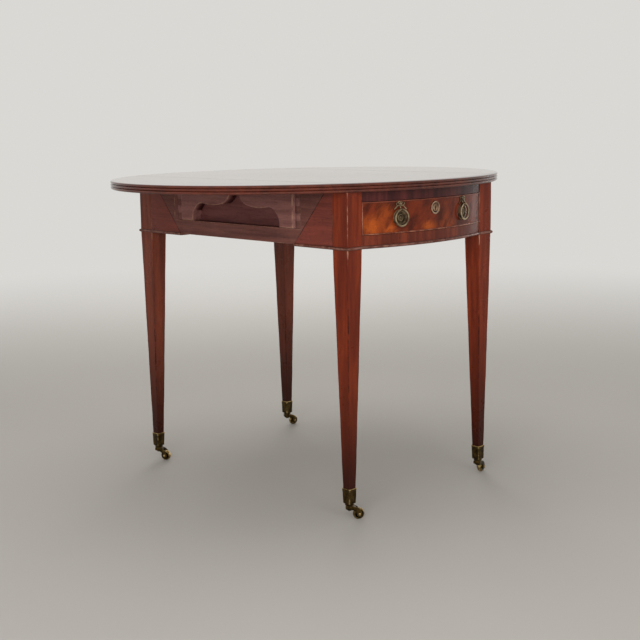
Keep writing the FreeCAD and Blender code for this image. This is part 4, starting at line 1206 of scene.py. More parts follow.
@dataclass
class Bow:
    """The curve of the two end friezes: an arc between the legs, which starts a little behind their faces."""

    setback: float = 1.5

    def __post_init__(self) -> None:
        """Reads the width between the legs and the crown of the bow, and works out the arc from its sag."""
        low, high = span("front_bottom_rail")
        self.half = high[0]
        crown = -low[1]
        sag = crown + span("leg_front_left")[0][1] + self.setback
        self.radius = (self.half ** 2 + sag ** 2) / (2 * sag)
        self.centre = crown - self.radius

    def spots(self, angle: Array, end: float, z: float) -> tuple[Array, Array, Array]:
        """Gives points on the bow with their tangents and outward directions.

        Args:
            angle: Angles from the crown.
            end: -1 at the front and 1 at the back.
            z: Height.

        Returns:
            Points, tangents and outward directions, each of shape (angles, 3).
        """
        zero = np.zeros_like(angle)
        out = np.stack([np.sin(angle), end * np.cos(angle), zero], -1)
        tangent = np.stack([np.cos(angle), -end * np.sin(angle), zero], -1)
        origin = np.array([0.0, end * self.centre, z]) + out * self.radius
        return origin, tangent, out

    def spot(self, angle: float, end: float, z: float) -> Spot:
        """Gives one place on the bow."""
        origin, tangent, out = self.spots(np.array([angle]), end, z)
        return Spot(origin[0], tangent[0], out[0])

    def line(self, half: float, end: float, z: float, steps: int = 41) -> tuple[Array, Array]:
        """Gives a path along the bow and its outward directions.

        Args:
            half: Half the path's width across the bow.
            end: -1 at the front and 1 at the back.
            z: Height.
            steps: Number of points.

        Returns:
            Points and outward directions, each of shape (steps, 3).
        """
        reach = np.arcsin(half / self.radius)
        path, _, out = self.spots(np.linspace(-reach, reach, steps), end, z)
        return path, out


@dataclass
class Beads:
    """The half round bead at the foot of the frieze, and the cock beads round the drawer fronts."""

    bow: Bow
    across: Timber = BEAD_WOOD.cut(Grain.ALONG_X)
    along: Timber = BEAD_WOOD.cut(Grain.ALONG_Y)
    cock_finish: Timber = COCK_BEAD_WOOD
    nose_steps: int = 13
    nose_rub: float = 1.5
    nose_grime: float = 0.6
    cock_thick: float = 3.0
    cock_proud: float = 1.2
    cock_back: float = 5.0
    upper_darkening: float = 0.9

    def __post_init__(self) -> None:
        """Reads the bead's height and depth and the faces of the legs, and works out the half round."""
        low, high = span("leg_beads")
        leg_low, leg_high = span("leg_front_left")
        self.face_x, self.face_y = leg_low[0], leg_low[1]
        self.inner_x, self.inner_y = leg_high[0], leg_high[1]
        self.depth = self.face_x - low[0]
        self.bottom, self.height = low[2], high[2] - low[2]
        self.nose = on_circle(np.linspace(-RIGHT_ANGLE, RIGHT_ANGLE, self.nose_steps))
        self.nose_worn = self.nose_rub * self.nose[:, 0] - self.nose_grime

    def run(self, path: Array, out: Array) -> Skin:
        """Carries the half round along a path; out may be longer at a mitre."""
        section = self.nose * np.array([self.depth, self.height / 2]) + np.array([0.0, self.height / 2])
        return skin_of(carried(path, out, UP, section), self.nose_worn, caps=(True, True))

    def foot_beads(self) -> None:
        """Makes the beads on the legs, the end blocks and the bowed rails."""
        z = self.bottom
        joint_y = span("side_beads")[0][1] + front_length("side_beads")
        leg_path = np.array([[self.face_x, self.inner_y, z], [self.face_x, self.face_y, z],
                             [self.inner_x, self.face_y, z]])
        leg_out = np.array([[-1.0, 0.0, 0.0], [-1.0, -1.0, 0.0], [0.0, -1.0, 0.0]])
        side_path = np.array([[self.face_x, self.inner_y, z], [self.face_x, joint_y, z]])
        side_out = np.array([[-1.0, 0.0, 0.0], [-1.0, 0.0, 0.0]])
        flips = [corner_flip(corner) for corner in CORNERS]
        legs = [self.run(leg_path * flip, leg_out * flip) for flip in flips]
        sides = [self.run(side_path * flip, side_out * flip) for flip in flips]
        ends = [self.run(*self.bow.line(self.bow.half, end, z)) for end in FRONTS.values()]
        make_piece("leg_bead_strips", legs, self.along, "leg_beads")
        make_piece("side_bead_strips", sides, self.along, "side_beads")
        make_piece("end_bead_strips", ends, self.across, "end_beads")

    def cock_beads(self, front: str, end: float) -> None:
        """Makes the round-nosed strips round a drawer front: two along the bow, the upper one darker, and two
        upright.

        Args:
            front: Which drawer front.
            end: -1 at the front and 1 at the back.
        """
        node = front + "_cock_beads"
        low, high = span(node)
        thick = self.cock_thick
        round_nose = self.nose * np.array([self.cock_proud, thick / 2])
        back = np.array([[-self.cock_back, thick / 2], [-self.cock_back, -thick / 2]])
        section = np.concatenate([round_nose, back])
        worn = np.concatenate([self.nose_worn, [0.0, 0.0]])
        strips = []
        # The upper strip is darker than the rest
        for z, darkening in ((low[2] + thick / 2, 0.0), (high[2] - thick / 2, self.upper_darkening)):
            path, out = self.bow.line(high[0], end, z)
            strips.append(skin_of(carried(path, out, UP, section), worn - darkening, caps=(True, True)))
        rise = np.linspace(low[2] + thick, high[2] - thick, 6)[:, None] * UP
        for side in SIDES.values():
            place = self.bow.spot(side * np.arcsin((high[0] - thick / 2) / self.bow.radius), end, 0.0)
            upright_strip = carried(place.origin + rise, place.out, place.right, section)
            strips.append(skin_of(upright_strip, worn, caps=(True, True)))
        make_piece(front + "_cock_bead_strips", strips, self.cock_finish, node)

    def build(self) -> None:
        """Makes every bead."""
        self.foot_beads()
        for front, end in FRONTS.items():
            self.cock_beads(front, end)


@dataclass
class Sides:
    """Fly rails, brackets, end blocks, carcass rails and pins."""

    block_finish: Timber = BLOCK_WOOD
    rail_finish: Timber = BEECH.cut(Grain.ALONG_Y)
    bracket_finish: Timber = RUBBED_BEECH.cut(Grain.ALONG_Y)
    carcass_finish: Timber = PINE.cut(Grain.ALONG_Y)
    block_easing: Easing = Easing(0.5, straight=-0.6, slanting=-1.0, outer=True)
    rail_easing: Easing = Easing(1.0, straight=0.8, slanting=-1.0, outer=True)
    bracket_easing: Easing = Easing(2.0, outer=True)

    def build(self) -> None:
        """Rounds the edges of what shows and dresses the rest."""
        for side in SIDES:
            eased_copy("end_blocks_" + side, self.block_finish, self.block_easing)
            eased_copy("fly_rail_" + side, self.rail_finish, self.rail_easing)
            dress_node("side_rail_" + side, self.carcass_finish)
        for corner in CORNERS:
            eased_copy("fly_bracket_" + corner, self.bracket_finish, self.bracket_easing)
        dress_node("bracket_pins", IRON)


@dataclass
class Ends:
    """Bowed rails, drawer fronts and the drawer."""

    veneer: FlameVeneer = FLAME
    lining: Timber = OAK.cut(Grain.ALONG_Y)
    cross_lining: Timber = OAK.cut(Grain.ALONG_X)
    runner_finish: Timber = PINE.cut(Grain.ALONG_Y)
    stop_finish: Timber = PINE.cut(Grain.ALONG_X)
    lining_easing: Easing = Easing(0.8)

    def build(self) -> None:
        """Dresses the rails and fronts, and rounds the edges of the drawer's lining."""
        for end in ("front", "back"):
            dress_node(end + "_top_rail", TOP_BAND)
            dress_node(end + "_bottom_rail", FOOT_BAND)
        dress_node("drawer_front", self.veneer)
        dress_node("dummy_drawer_front", self.veneer)
        for side in SIDES:
            eased_copy("drawer_side_" + side, self.lining, self.lining_easing)
        eased_copy("drawer_back", self.cross_lining, self.lining_easing)
        dress_node("drawer_bottom", self.cross_lining)
        dress_node("drawer_runners", self.runner_finish)
        dress_node("drawer_kickers", self.runner_finish)
        dress_node("drawer_stops", self.stop_finish)
        dress_node("lock_case", IRON)
        dress_node("lock_bolt", BRASS)


# Brass

@dataclass
class Pulls:
    """Ring pulls on round rosettes under a ribbon bow, and the round keyhole plates.

    The rosette and the key plate's rings are radius, height and wear. A loop of the ribbon is half its
    length, half its width and its tilt in degrees.
    """

    bow: Bow
    finish: OldMetal = BRASS
    ring_finish: OldMetal = RING_BRASS
    key_finish: OldMetal = ROSE_BRASS
    ring_radius: float = 17.0
    ring_steps: int = 72
    ring_point: float = 0.03
    ring_point_reach: float = 0.45
    wire: float = 2.1
    wire_steps: int = 14
    wire_swell: float = 0.10
    wire_wear: float = 0.35
    wire_rub: float = 0.6
    standoff: float = 6.6
    eye: float = 3.6
    eye_half: float = 2.0
    eye_steps: int = 16
    stem: float = 2.6
    stem_swell: float = 1.0
    flutes: int = 28
    flute_inner: float = 8.5
    flute_outer: float = 11.8
    flute_depth: float = 0.45
    flute_wear: float = 0.6
    ribbon_width: float = 1.7
    ribbon_thick: float = 1.9
    ribbon_lift: float = 0.9
    ribbon_wave: float = 0.5
    ribbon_steps: int = 10
    ribbon_power: float = 0.6
    loops: tuple[tuple[float, float, float], ...] = ((5.4, 2.9, 20.0), (4.2, 2.0, 64.0))
    loop_gap: float = 0.8
    loop_steps: int = 40
    tail_steps: int = 20
    tail_narrow: float = 1.4
    tail_wide: float = 3.0
    band_width: float = 3.6
    knot_rise: float = 9.0
    knot_radius: float = 3.0
    knot_foot: float = 0.4
    sunk: float = 0.3
    hole: float = 2.2
    slot_half: float = 1.3
    slot_drop: float = 6.0
    key_steps: int = 144
    rosette: tuple[tuple[float, float, float], ...] = (
        (0.0, 3.4, 0.6), (2.2, 3.2, 0.6), (3.4, 2.3, -0.5), (4.6, 2.1, -1.0), (5.6, 2.5, 0.3),
        (6.6, 2.7, 0.8), (7.4, 2.4, 0.2), (8.0, 1.7, -1.0), (9.4, 1.5, -0.6), (11.0, 1.5, -0.6),
        (12.0, 1.6, -0.8), (12.8, 2.2, 0.4), (13.8, 2.5, 0.9), (14.8, 2.2, 0.4), (15.4, 1.5, -0.9),
        (16.4, 1.5, 0.2), (17.4, 1.2, 0.6), (18.0, 0.6, 0.4), (18.0, -0.3, 0.0), (0.0, -0.3, 0.0))
    key_rings: tuple[tuple[float, float, float], ...] = (
        (7.0, 1.2, -0.3), (7.6, 1.3, 0.1), (8.2, 0.7, -1.0), (9.8, 0.7, -1.0), (10.5, 1.6, 0.0),
        (11.4, 2.3, 0.7), (12.4, 2.5, 0.9), (13.4, 2.2, 0.7), (14.2, 1.4, 0.4), (14.5, 0.5, 0.0),
        (14.5, -0.3, 0.0))

    def ring_spot(self, front: str, side: str) -> Spot:
        """Gives the place on the bow behind a ring's top, from its joint.

        Args:
            front: Which drawer front.
            side: Which side of it.

        Returns:
            The place.
        """
        place = joint_place(front + "_ring_" + side + "_swing")
        angle = np.arcsin(place[0] / (self.bow.radius + self.standoff))
        return self.bow.spot(float(angle), FRONTS[front], place[2])

    def plate(self, spot: Spot) -> Skin:
        """Turns the rosette about the ring's centre, with flutes between its two mouldings.

        The flutes rise and fall by a cosine of the angle.

        Args:
            spot: The ring's place.

        Returns:
            The rosette's surface.
        """
        steps = 4 * self.flutes
        profile = np.array(self.rosette)
        radius, height, worn = profile.T
        grid = turned(profile[:, :2], steps) - np.array([0.0, 0.0, self.ring_radius])
        between = (radius > self.flute_inner) & (radius < self.flute_outer) & (height > 0)
        wave = between * np.cos(self.flutes * turn_angles(steps)[:, None])
        grid[..., 1] += self.flute_depth * wave
        return skin_of(spot.place(grid), worn + self.flute_wear * wave, wrap=False, closed=True)

    def eye_lug(self, spot: Spot) -> Skin:
        """Makes the ring's eye of ovals along the out direction: a stem, then a round on the eye's circle.

        Args:
            spot: The ring's place.

        Returns:
            The eye's surface.
        """
        bulge = self.standoff + self.eye * np.sin(np.linspace(0.1, RIGHT_ANGLE, 8))
        out = np.concatenate([np.linspace(0.0, self.standoff, 6), bulge])
        stem = self.stem + self.stem_swell * smooth(out / self.standoff)
        head = np.sqrt(np.clip(self.eye ** 2 - (out - self.standoff) ** 2, 0.0, None))
        tall = np.where(out < self.standoff, stem, head)[:, None]
        wide = np.minimum(self.eye_half, tall)
        angle = turn_angles(self.eye_steps)[None]
        away = np.broadcast_to(out[:, None], (len(out), self.eye_steps))
        grid = np.stack([wide * np.cos(angle), away, tall * np.sin(angle)], -1)
        return skin_of(spot.place(grid), 0.5, caps=(True, False))

    def ribbon(self, spot: Spot, path: Array, width: Array | float, closed: bool) -> Skin:
        """Carries a flat rounded band along a path that lies on the wood and rises and falls by a sine.

        Args:
            spot: The ring's place.
            path: Right and up distances of the path.
            width: Width of the band along the path.
            closed: Whether the path joins its own start.

        Returns:
            The ribbon's surface.
        """
        count = len(path)
        steps = np.roll(path, -1, 0) - np.roll(path, 1, 0) if closed else np.gradient(path, axis=0)
        steps = steps / np.linalg.norm(steps, axis=1, keepdims=True)
        across = standing(steps[:, ::-1] * np.array([-1.0, 1.0]))
        wave = np.sin(np.linspace(0.0, FULL_TURN, count, endpoint=not closed))
        line = standing(path, self.ribbon_lift + self.ribbon_wave * wave)
        bar = soft_bar(1.0, self.ribbon_thick, self.ribbon_steps, self.ribbon_power)
        widths = np.stack([np.broadcast_to(width, count), np.ones(count)], -1)
        grid = carried(line, across, OUT, bar[None] * widths[:, None])
        worn = np.clip(np.sin(turn_angles(self.ribbon_steps)), -0.6, 1.0)
        return skin_of(spot.place(grid), worn, closed=closed, caps=(not closed, not closed))

    def crest(self, spot: Spot) -> list[Skin]:
        """Makes the ribbon bow: four oval loops, two tails, a domed knot and a band down to the eye.

        Args:
            spot: The ring's place.

        Returns:
            Its surfaces.
        """
        knot = self.knot_rise
        turn = turn_angles(self.loop_steps)
        tail_widths = np.linspace(self.tail_narrow, self.tail_wide, self.tail_steps)
        skins = []
        for sign in SIDES.values():
            for long, short, tilt in self.loops:
                lean = np.radians(tilt)
                along = long + self.loop_gap + long * np.cos(turn)
                across = short * np.sin(turn)
                right = along * np.cos(lean) - across * np.sin(lean)
                rise = along * np.sin(lean) + across * np.cos(lean)
                loop = np.stack([sign * right, knot + rise], -1)
                skins.append(self.ribbon(spot, loop, self.ribbon_width, True))
            guides = [(0.0, knot), (sign * 9.0, knot + 1.5), (sign * 11.0, 3.0), (sign * 16.5, 1.0)]
            skins.append(self.ribbon(spot, bent(guides, self.tail_steps), tail_widths, False))
        dome = self.knot_radius * on_circle(np.linspace(0.0, RIGHT_ANGLE, 8))
        dome = np.concatenate([[[self.knot_radius, -self.sunk]], dome + np.array([0.0, self.knot_foot])])
        knob = turned(dome, 20) + np.array([0.0, 0.0, knot])
        skins.append(skin_of(spot.place(knob), 0.6, wrap=False, closed=True))
        band = np.stack([np.zeros(6), np.linspace(1.0, knot, 6)], -1)
        skins.append(self.ribbon(spot, band, self.band_width, False))
        return skins

    def ring(self, spot: Spot) -> Skin:
        """Carries a round wire about the ring's centre, a little pointed at the top and stouter below.

        Args:
            spot: The ring's place.

        Returns:
            The ring's surface.
        """
        turn = turn_angles(self.ring_steps)
        away = np.angle(np.exp(1j * (turn - RIGHT_ANGLE)))
        point = np.exp(-(away / self.ring_point_reach) ** 2)
        reach = self.ring_radius * (1 + self.ring_point * point)
        out = standing(on_circle(turn))
        line = out * reach[:, None] + np.array([0.0, self.standoff, -self.ring_radius])
        thick = self.wire * (1 - self.wire_swell * np.sin(turn))
        angle = turn_angles(self.wire_steps)
        wire = on_circle(angle)[None] * thick[:, None, None]
        worn = self.wire_wear + self.wire_rub * np.sin(angle)
        return skin_of(spot.place(carried(line, out, OUT, wire)), worn, closed=True)

    def key_plate(self, spot: Spot) -> Skin:
        """Makes the plate of rings, from the keyhole's floor, dark with painted shade, to the rim.

        The hole's radius at an angle is that of a circle, or below it that of a slot where it is longer.

        Args:
            spot: The plate's middle.

        Returns:
            The plate's surface.
        """
        tiny = 1e-9
        angle = turn_angles(self.key_steps)
        right, rise = np.cos(angle), np.sin(angle)
        to_side = np.where(np.abs(right) > tiny, self.slot_half / np.maximum(np.abs(right), tiny), np.inf)
        to_foot = self.slot_drop / np.maximum(-rise, tiny)
        hole = np.maximum(self.hole, np.where(rise < 0, np.minimum(to_side, to_foot), 0.0))
        rings = np.array(self.key_rings)
        outer = np.repeat(rings[:, :1], self.key_steps, 1)
        # The first rings are the keyhole's floor and walls; their wear of -1 paints them dark as the shade in the
        # hole
        radius = np.concatenate([[0 * hole, hole, hole, hole + 0.4], outer]).T
        height = np.broadcast_to(np.concatenate([[0.1, 0.1, 0.9, 1.2], rings[:, 1]]), radius.shape)
        worn = np.concatenate([[-1.0, -1.0, -0.8, 0.2], rings[:, 2]])
        grid = np.stack([radius * right[:, None], height, radius * rise[:, None]], -1)
        return skin_of(spot.place(grid), worn, closed=True)

    def build(self) -> None:
        """Makes the pulls and the keyhole plates at both ends."""
        for front, end in FRONTS.items():
            plates = []
            for side in SIDES:
                spot = self.ring_spot(front, side)
                plates += [self.plate(spot), self.eye_lug(spot), *self.crest(spot)]
                make_piece(front + "_ring_" + side, [self.ring(spot)], self.ring_finish,
                           front + "_pull_ring_" + side)
            make_piece(front + "_rosettes", plates, self.finish, front + "_pull_plates")
            low, high = span(front + "_key_plate")
            middle = self.bow.spot(0.0, end, (low[2] + high[2]) / 2)
            make_piece(front + "_keyhole_plate", [self.key_plate(middle)], self.key_finish,
                       front + "_key_plate")


@dataclass
class Casters:
    """Brass cups on the feet, swivelling horns and wheels.

    The cup's rings are height, growth beyond the leg and wear. The tread is radius, half width and wear.
    """

    legs: Legs
    finish: OldMetal = CASTER_BRASS
    cup_height: float = 33.0
    cup_arris: float = 1.6
    # Rub on the cups' corners, partly a painted glint along each arris
    corner_rub_and_glint: float = 0.9
    neck_height: float = 4.0
    pintle: float = 3.5
    pintle_gap: float = 0.4
    horn_radius: float = 8.5
    horn_height: float = 9.5
    horn_gap: float = 0.3
    horn_play: float = 0.1
    cheek_inner: float = 5.8
    cheek_thick: float = 3.0
    cheek_rows: int = 24
    bar_steps: int = 14
    bridge_rows: tuple[int, int] = (12, 22)
    bridge_inset: float = 2.8
    bridge_thick: float = 4.4
    bridge_overlap: float = 1.0
    boss: float = 5.6
    rivet: float = 3.4
    bore: float = 2.25
    bore_half: float = 5.2
    turning_steps: int = 40
    boss_steps: int = 32
    wheel_steps: int = 48
    cup_rings: tuple[tuple[float, float, float], ...] = (
        (0.0, -1.5, 0.0), (0.0, 0.4, 0.1), (0.4, 1.0, 0.4), (1.4, 1.2, 0.1), (14.0, 1.2, -0.2),
        (26.6, 1.2, -0.5), (27.0, 1.2, -1.0), (27.4, 1.5, 0.1), (28.2, 1.7, 0.3), (29.0, 1.5, 0.0),
        (29.4, 1.3, -1.0), (30.0, 1.5, 0.1), (31.2, 1.8, 0.4), (32.4, 1.7, 0.9), (33.0, 1.2, 0.9),
        (33.0, -0.4, 0.0))
    tread: tuple[tuple[float, float, float], ...] = (
        (3.8, 5.2, -0.4), (4.6, 5.4, 0.2), (5.2, 4.7, -1.0), (8.4, 4.4, -0.8), (9.0, 5.2, 0.2),
        (10.0, 5.5, 0.6), (11.2, 4.7, 0.7), (12.0, 3.3, 0.9), (12.4, 1.6, 1.0), (12.5, 0.0, 1.0))

    def __post_init__(self) -> None:
        """Works out the heights of the cup and the horn from the cup's rim in the frame."""
        self.cup_bottom = self.legs.cup_top - self.cup_height
        self.horn_high = self.cup_bottom - self.neck_height - self.horn_gap
        self.horn_low = self.horn_high - self.horn_height

    def spot(self, corner: str) -> Spot:
        """Gives the foot's axis at the floor, with right along the trail and out along the axle.

        Args:
            corner: Which foot.

        Returns:
            The place.
        """
        level = np.array([1.0, 1.0, 0.0])
        axis = joint_place("caster_" + corner + "_swivel") * level
        wheel = joint_place("wheel_" + corner + "_roll") * level
        trail = (wheel - axis) / np.linalg.norm(wheel - axis)
        return Spot(axis, trail, np.cross(UP, trail))

    def axle(self, corner: str) -> Array:
        """Gives the middle of the axle as right, out and up distances from the foot's axis."""
        away = joint_place("wheel_" + corner + "_roll") - self.spot(corner).origin
        return np.array([np.linalg.norm(away[:2]), 0.0, away[2]])

    def cup(self, corner: str) -> list[Skin]:
        """Makes the square sleeve with its mouldings, the round neck and the pintle's head.

        Args:
            corner: Which foot.

        Returns:
            Its surfaces.
        """
        rings = np.array(self.cup_rings)
        grid = self.legs.section(self.cup_bottom + rings[:, 0], rings[:, 1], self.cup_arris, corner)
        # Real rub on the cup's corners, plus a painted glint along each arris
        sleeve = skin_of(grid, rings[:, 2:] + self.corner_rub_and_glint * CORNER_WEAR_SHADE_AND_GLINT, caps=(True, True))
        low = self.cup_bottom - self.neck_height
        head = self.horn_low - self.pintle_gap
        neck = np.array([
            [0.0, head - 2.2], [4.3, head - 2.2], [5.0, head - 1.6], [5.0, head - 0.5], [4.4, head],
            [self.pintle, head], [self.pintle, low], [9.0, low], [9.8, low + 0.6], [10.0, low + 1.6],
            [9.4, low + 2.4], [8.6, low + 2.8], [9.6, low + 3.4], [10.0, low + 4.1], [0.0, low + 4.1]])
        turning = upright(turned(neck, self.turning_steps))
        stem = skin_of(self.spot(corner).place(turning), 0.0, wrap=False, closed=True)
        return [sleeve, stem]

    def back_line(self, steps: int) -> Array:
        """Bends the upper outline of a cheek from the collar's top over to the axle."""
        high = self.horn_high
        return bent([(-6.0, high - 0.8), (9.5, high + 0.3), (25.5, 27.0), (25.4, 13.0)], steps)

    def cheek(self, side: float) -> Array:
        """Carries a rounded bar from the collar down to the axle between two bent side lines.

        Args:
            side: -1 or 1, the side of the wheel.

        Returns:
            The cheek's grid of points.
        """
        low = self.horn_low
        upper = self.back_line(self.cheek_rows)
        lower = bent([(-6.0, low + 1.2), (4.0, low + 0.6), (14.0, 21.0), (14.6, 12.0)], self.cheek_rows)
        path = standing((upper + lower) / 2, side * (self.cheek_inner + self.cheek_thick / 2))
        lift = standing((upper - lower) / 2)
        return carried(path, OUT, lift, soft_bar(self.cheek_thick, 2.0, self.bar_steps, 0.5))

    def bridge(self) -> Array:
        """Carries a bar across the two cheeks above the wheel, along the upper part of their outline."""
        upper = self.back_line(2 * self.cheek_rows)[slice(*self.bridge_rows)]
        step = np.gradient(upper, axis=0)
        step = step / np.linalg.norm(step, axis=1, keepdims=True)
        inward = np.stack([step[:, 1], -step[:, 0]], -1)
        path = standing(upper + self.bridge_inset * inward)
        width = 2 * self.cheek_inner + self.bridge_overlap
        bar = soft_bar(width, self.bridge_thick, self.bar_steps, 0.4)
        return carried(path, OUT, standing(inward), bar)

    def horn(self, corner: str) -> list[Skin]:
        """Makes the collar, two cheeks, the bridge between them, bosses and rivet heads.

        Args:
            corner: Which foot.

        Returns:
            Its surfaces.
        """
        spot = self.spot(corner)
        high, low, radius = self.horn_high, self.horn_low, self.horn_radius
        bore = self.pintle + self.horn_play
        collar = np.array([
            [bore, low], [radius - 1.1, low], [radius - 0.3, low + 0.6], [radius, low + 1.6],
            [radius, high - 1.8], [radius - 0.5, high - 0.6], [radius - 1.3, high], [bore, high]])
        turning = upright(turned(collar, self.turning_steps))
        skins = [skin_of(spot.place(turning), 0.2, closed=True)]
        inner, boss, rivet = self.cheek_inner, self.boss, self.rivet
        outer = inner + self.cheek_thick
        cap = np.array([[0.0, inner], [boss, inner], [boss, outer - 0.5], [boss - 0.6, outer + 0.1],
                        [rivet + 0.2, outer + 0.1], [rivet, outer + 0.4], [rivet - 0.7, outer + 0.9],
                        [1.4, outer + 1.1], [0.0, outer + 1.15]])
        cap_worn = np.array([0.0, 0.0, 0.5, 0.5, -0.8, 0.2, 0.9, 1.0, 1.0])
        for side in SIDES.values():
            skins.append(skin_of(spot.place(self.cheek(side)), 0.35, caps=(True, True)))
            turning = turned(cap, self.boss_steps) * np.array([1.0, side, 1.0]) + self.axle(corner)
            skins.append(skin_of(spot.place(turning), cap_worn, wrap=False, closed=True))
        skins.append(skin_of(spot.place(self.bridge()), 0.3, caps=(True, True)))
        return skins

    def wheel(self, corner: str) -> Skin:
        """Turns the tread's profile, the same on both faces, about the axle.

        Args:
            corner: Which foot.

        Returns:
            The wheel's surface.
        """
        half = np.array(self.tread)
        back = half[-2::-1] * np.array([1.0, -1.0, 1.0])
        near = np.array([[self.bore, self.bore_half, -0.5]])
        far = np.array([[self.bore, -self.bore_half, -0.5]])
        profile = np.concatenate([near, half, back, far])
        grid = turned(profile[:, :2], self.wheel_steps) + self.axle(corner)
        return skin_of(self.spot(corner).place(grid), profile[None, :, 2], closed=True)

    def build(self) -> None:
        """Makes the cups, horns and wheels."""
        cups = [skin for corner in CORNERS for skin in self.cup(corner)]
        make_piece("caster_sockets", cups, self.finish, "caster_cups")
        for corner in CORNERS:
            make_piece("horn_" + corner, self.horn(corner), self.finish,
                       "caster_horn_" + corner)
            make_piece("wheel_tread_" + corner, [self.wheel(corner)], self.finish,
                       "caster_wheel_" + corner)


@dataclass
class Hinges:
    """Iron hinge leaves and pins, with the slotted screws that hold them.

    Places of screws are X from the pin and Y from the middle of the hinge.
    """

    top: OvalTop
    finish: OldMetal = IRON
    head: float = 3.6
    dome: float = 0.55
    slot: float = 0.45
    slot_depth: float = 0.5
    slot_turn: float = 0.7
    proud: float = 0.05
    fixed_places: tuple[tuple[float, float], ...] = ((-12.0, 10.0), (-12.0, -10.0), (-26.0, 0.0))
    flap_places: tuple[tuple[float, float], ...] = ((17.0, 10.0), (17.0, -10.0), (42.0, 8.0), (42.0, -8.0))

    def screw(self, x: float, y: float, z: float, turn: float) -> Skin:
        """Makes a low domed head facing down: a grid of strips across it, sunk where the slot runs.

        Args:
            x: Middle of the head.
            y: Middle of the head.
            z: The leaf's face.
            turn: Angle of the slot.

        Returns:
            The head's surface.
        """
        slot = self.slot / self.head
        half = np.array([slot, slot, 0.3, 0.6, 0.85, 1.0])
        across = np.concatenate([-half[::-1], half]) * self.head
        sunk = np.array([0, 0, 0, 0, 0, 1, 1, 0, 0, 0, 0, 0], float)[:, None]
        half_chord = np.sqrt(np.clip(self.head ** 2 - across ** 2, 0.0, None))
        chord = half_chord[:, None] * np.linspace(-1.0, 1.0, 11)
        line = np.broadcast_to(across[:, None], chord.shape)
        radius = np.sqrt(line ** 2 + chord ** 2)
        rise = self.dome * (1 - (radius / self.head) ** 2) - self.slot_depth * sunk
        right = line * np.cos(turn) - chord * np.sin(turn)
        away = line * np.sin(turn) + chord * np.cos(turn)
        grid = np.stack([x + right, y + away, z - self.proud - rise], -1)
        return skin_of(grid, np.where(sunk > 0, -1.0, 0.5), wrap=False)

    def build(self) -> None:
        """Dresses the leaves and pins and sets the screws, each with its slot turned another way."""
        for node in ("top_hinge_leaves", "left_flap_hinge_leaves", "right_flap_hinge_leaves", "hinge_pins"):
            dress_node(node, self.finish)
        face = span("top_hinge_leaves")[0][2]
        pin_x, reach = self.top.joint_x, self.top.hinge_y
        for side, sign in SIDES.items():
            sets = {"frame": self.fixed_places, side + "_flap": self.flap_places}
            for body, places in sets.items():
                screws = [self.screw(sign * (pin_x + across), middle + along, face,
                                     self.slot_turn * number + middle)
                          for middle in (-reach, 0.0, reach)
                          for number, (across, along) in enumerate(places)]
                make_piece(side + "_hinge_screws_" + body, screws, self.finish, body=body)


# Studio, in metres

def turned_to(right: Array, up: Array, back: Array, place: Sequence[float]) -> Matrix:
    """Puts three directions and a place into one matrix.

    Args:
        right: Direction of the object's own X.
        up: Direction of its Y.
        back: Direction of its Z.
        place: Where it stands.

    Returns:
        The matrix.
    """
    turn = np.eye(4)
    turn[:3] = np.stack([right, up, back, np.array(place)], -1)
    return Matrix(turn.tolist())


@dataclass(frozen=True)
class Lamp:
    """A round soft lamp: its place, width and power, and the power of the twin that shows in gloss."""

    name: str
    place: tuple[float, float, float]
    size: float
    power: float
    gleam: float

    def hang(self, name: str, power: float, aim: float) -> bpy.types.Object:
        """Hangs the lamp or its twin, turned to the table.

        Args:
            name: Its name.
            power: Its power.
            aim: Height of the point that it is turned to.

        Returns:
            The lamp.
        """
        data = bpy.data.lights.new(name, "AREA")
        data.shape = "DISK"
        data.size = self.size
        data.energy = power
        lamp = bpy.data.objects.new(name, data)
        back = np.array(self.place) - aim * UP
        back = back / np.linalg.norm(back)
        right = np.cross(UP, back)
        right = right / np.linalg.norm(right)
        lamp.matrix_world = turned_to(right, np.cross(back, right), back, self.place)
        bpy.context.scene.collection.objects.link(lamp)
        return lamp


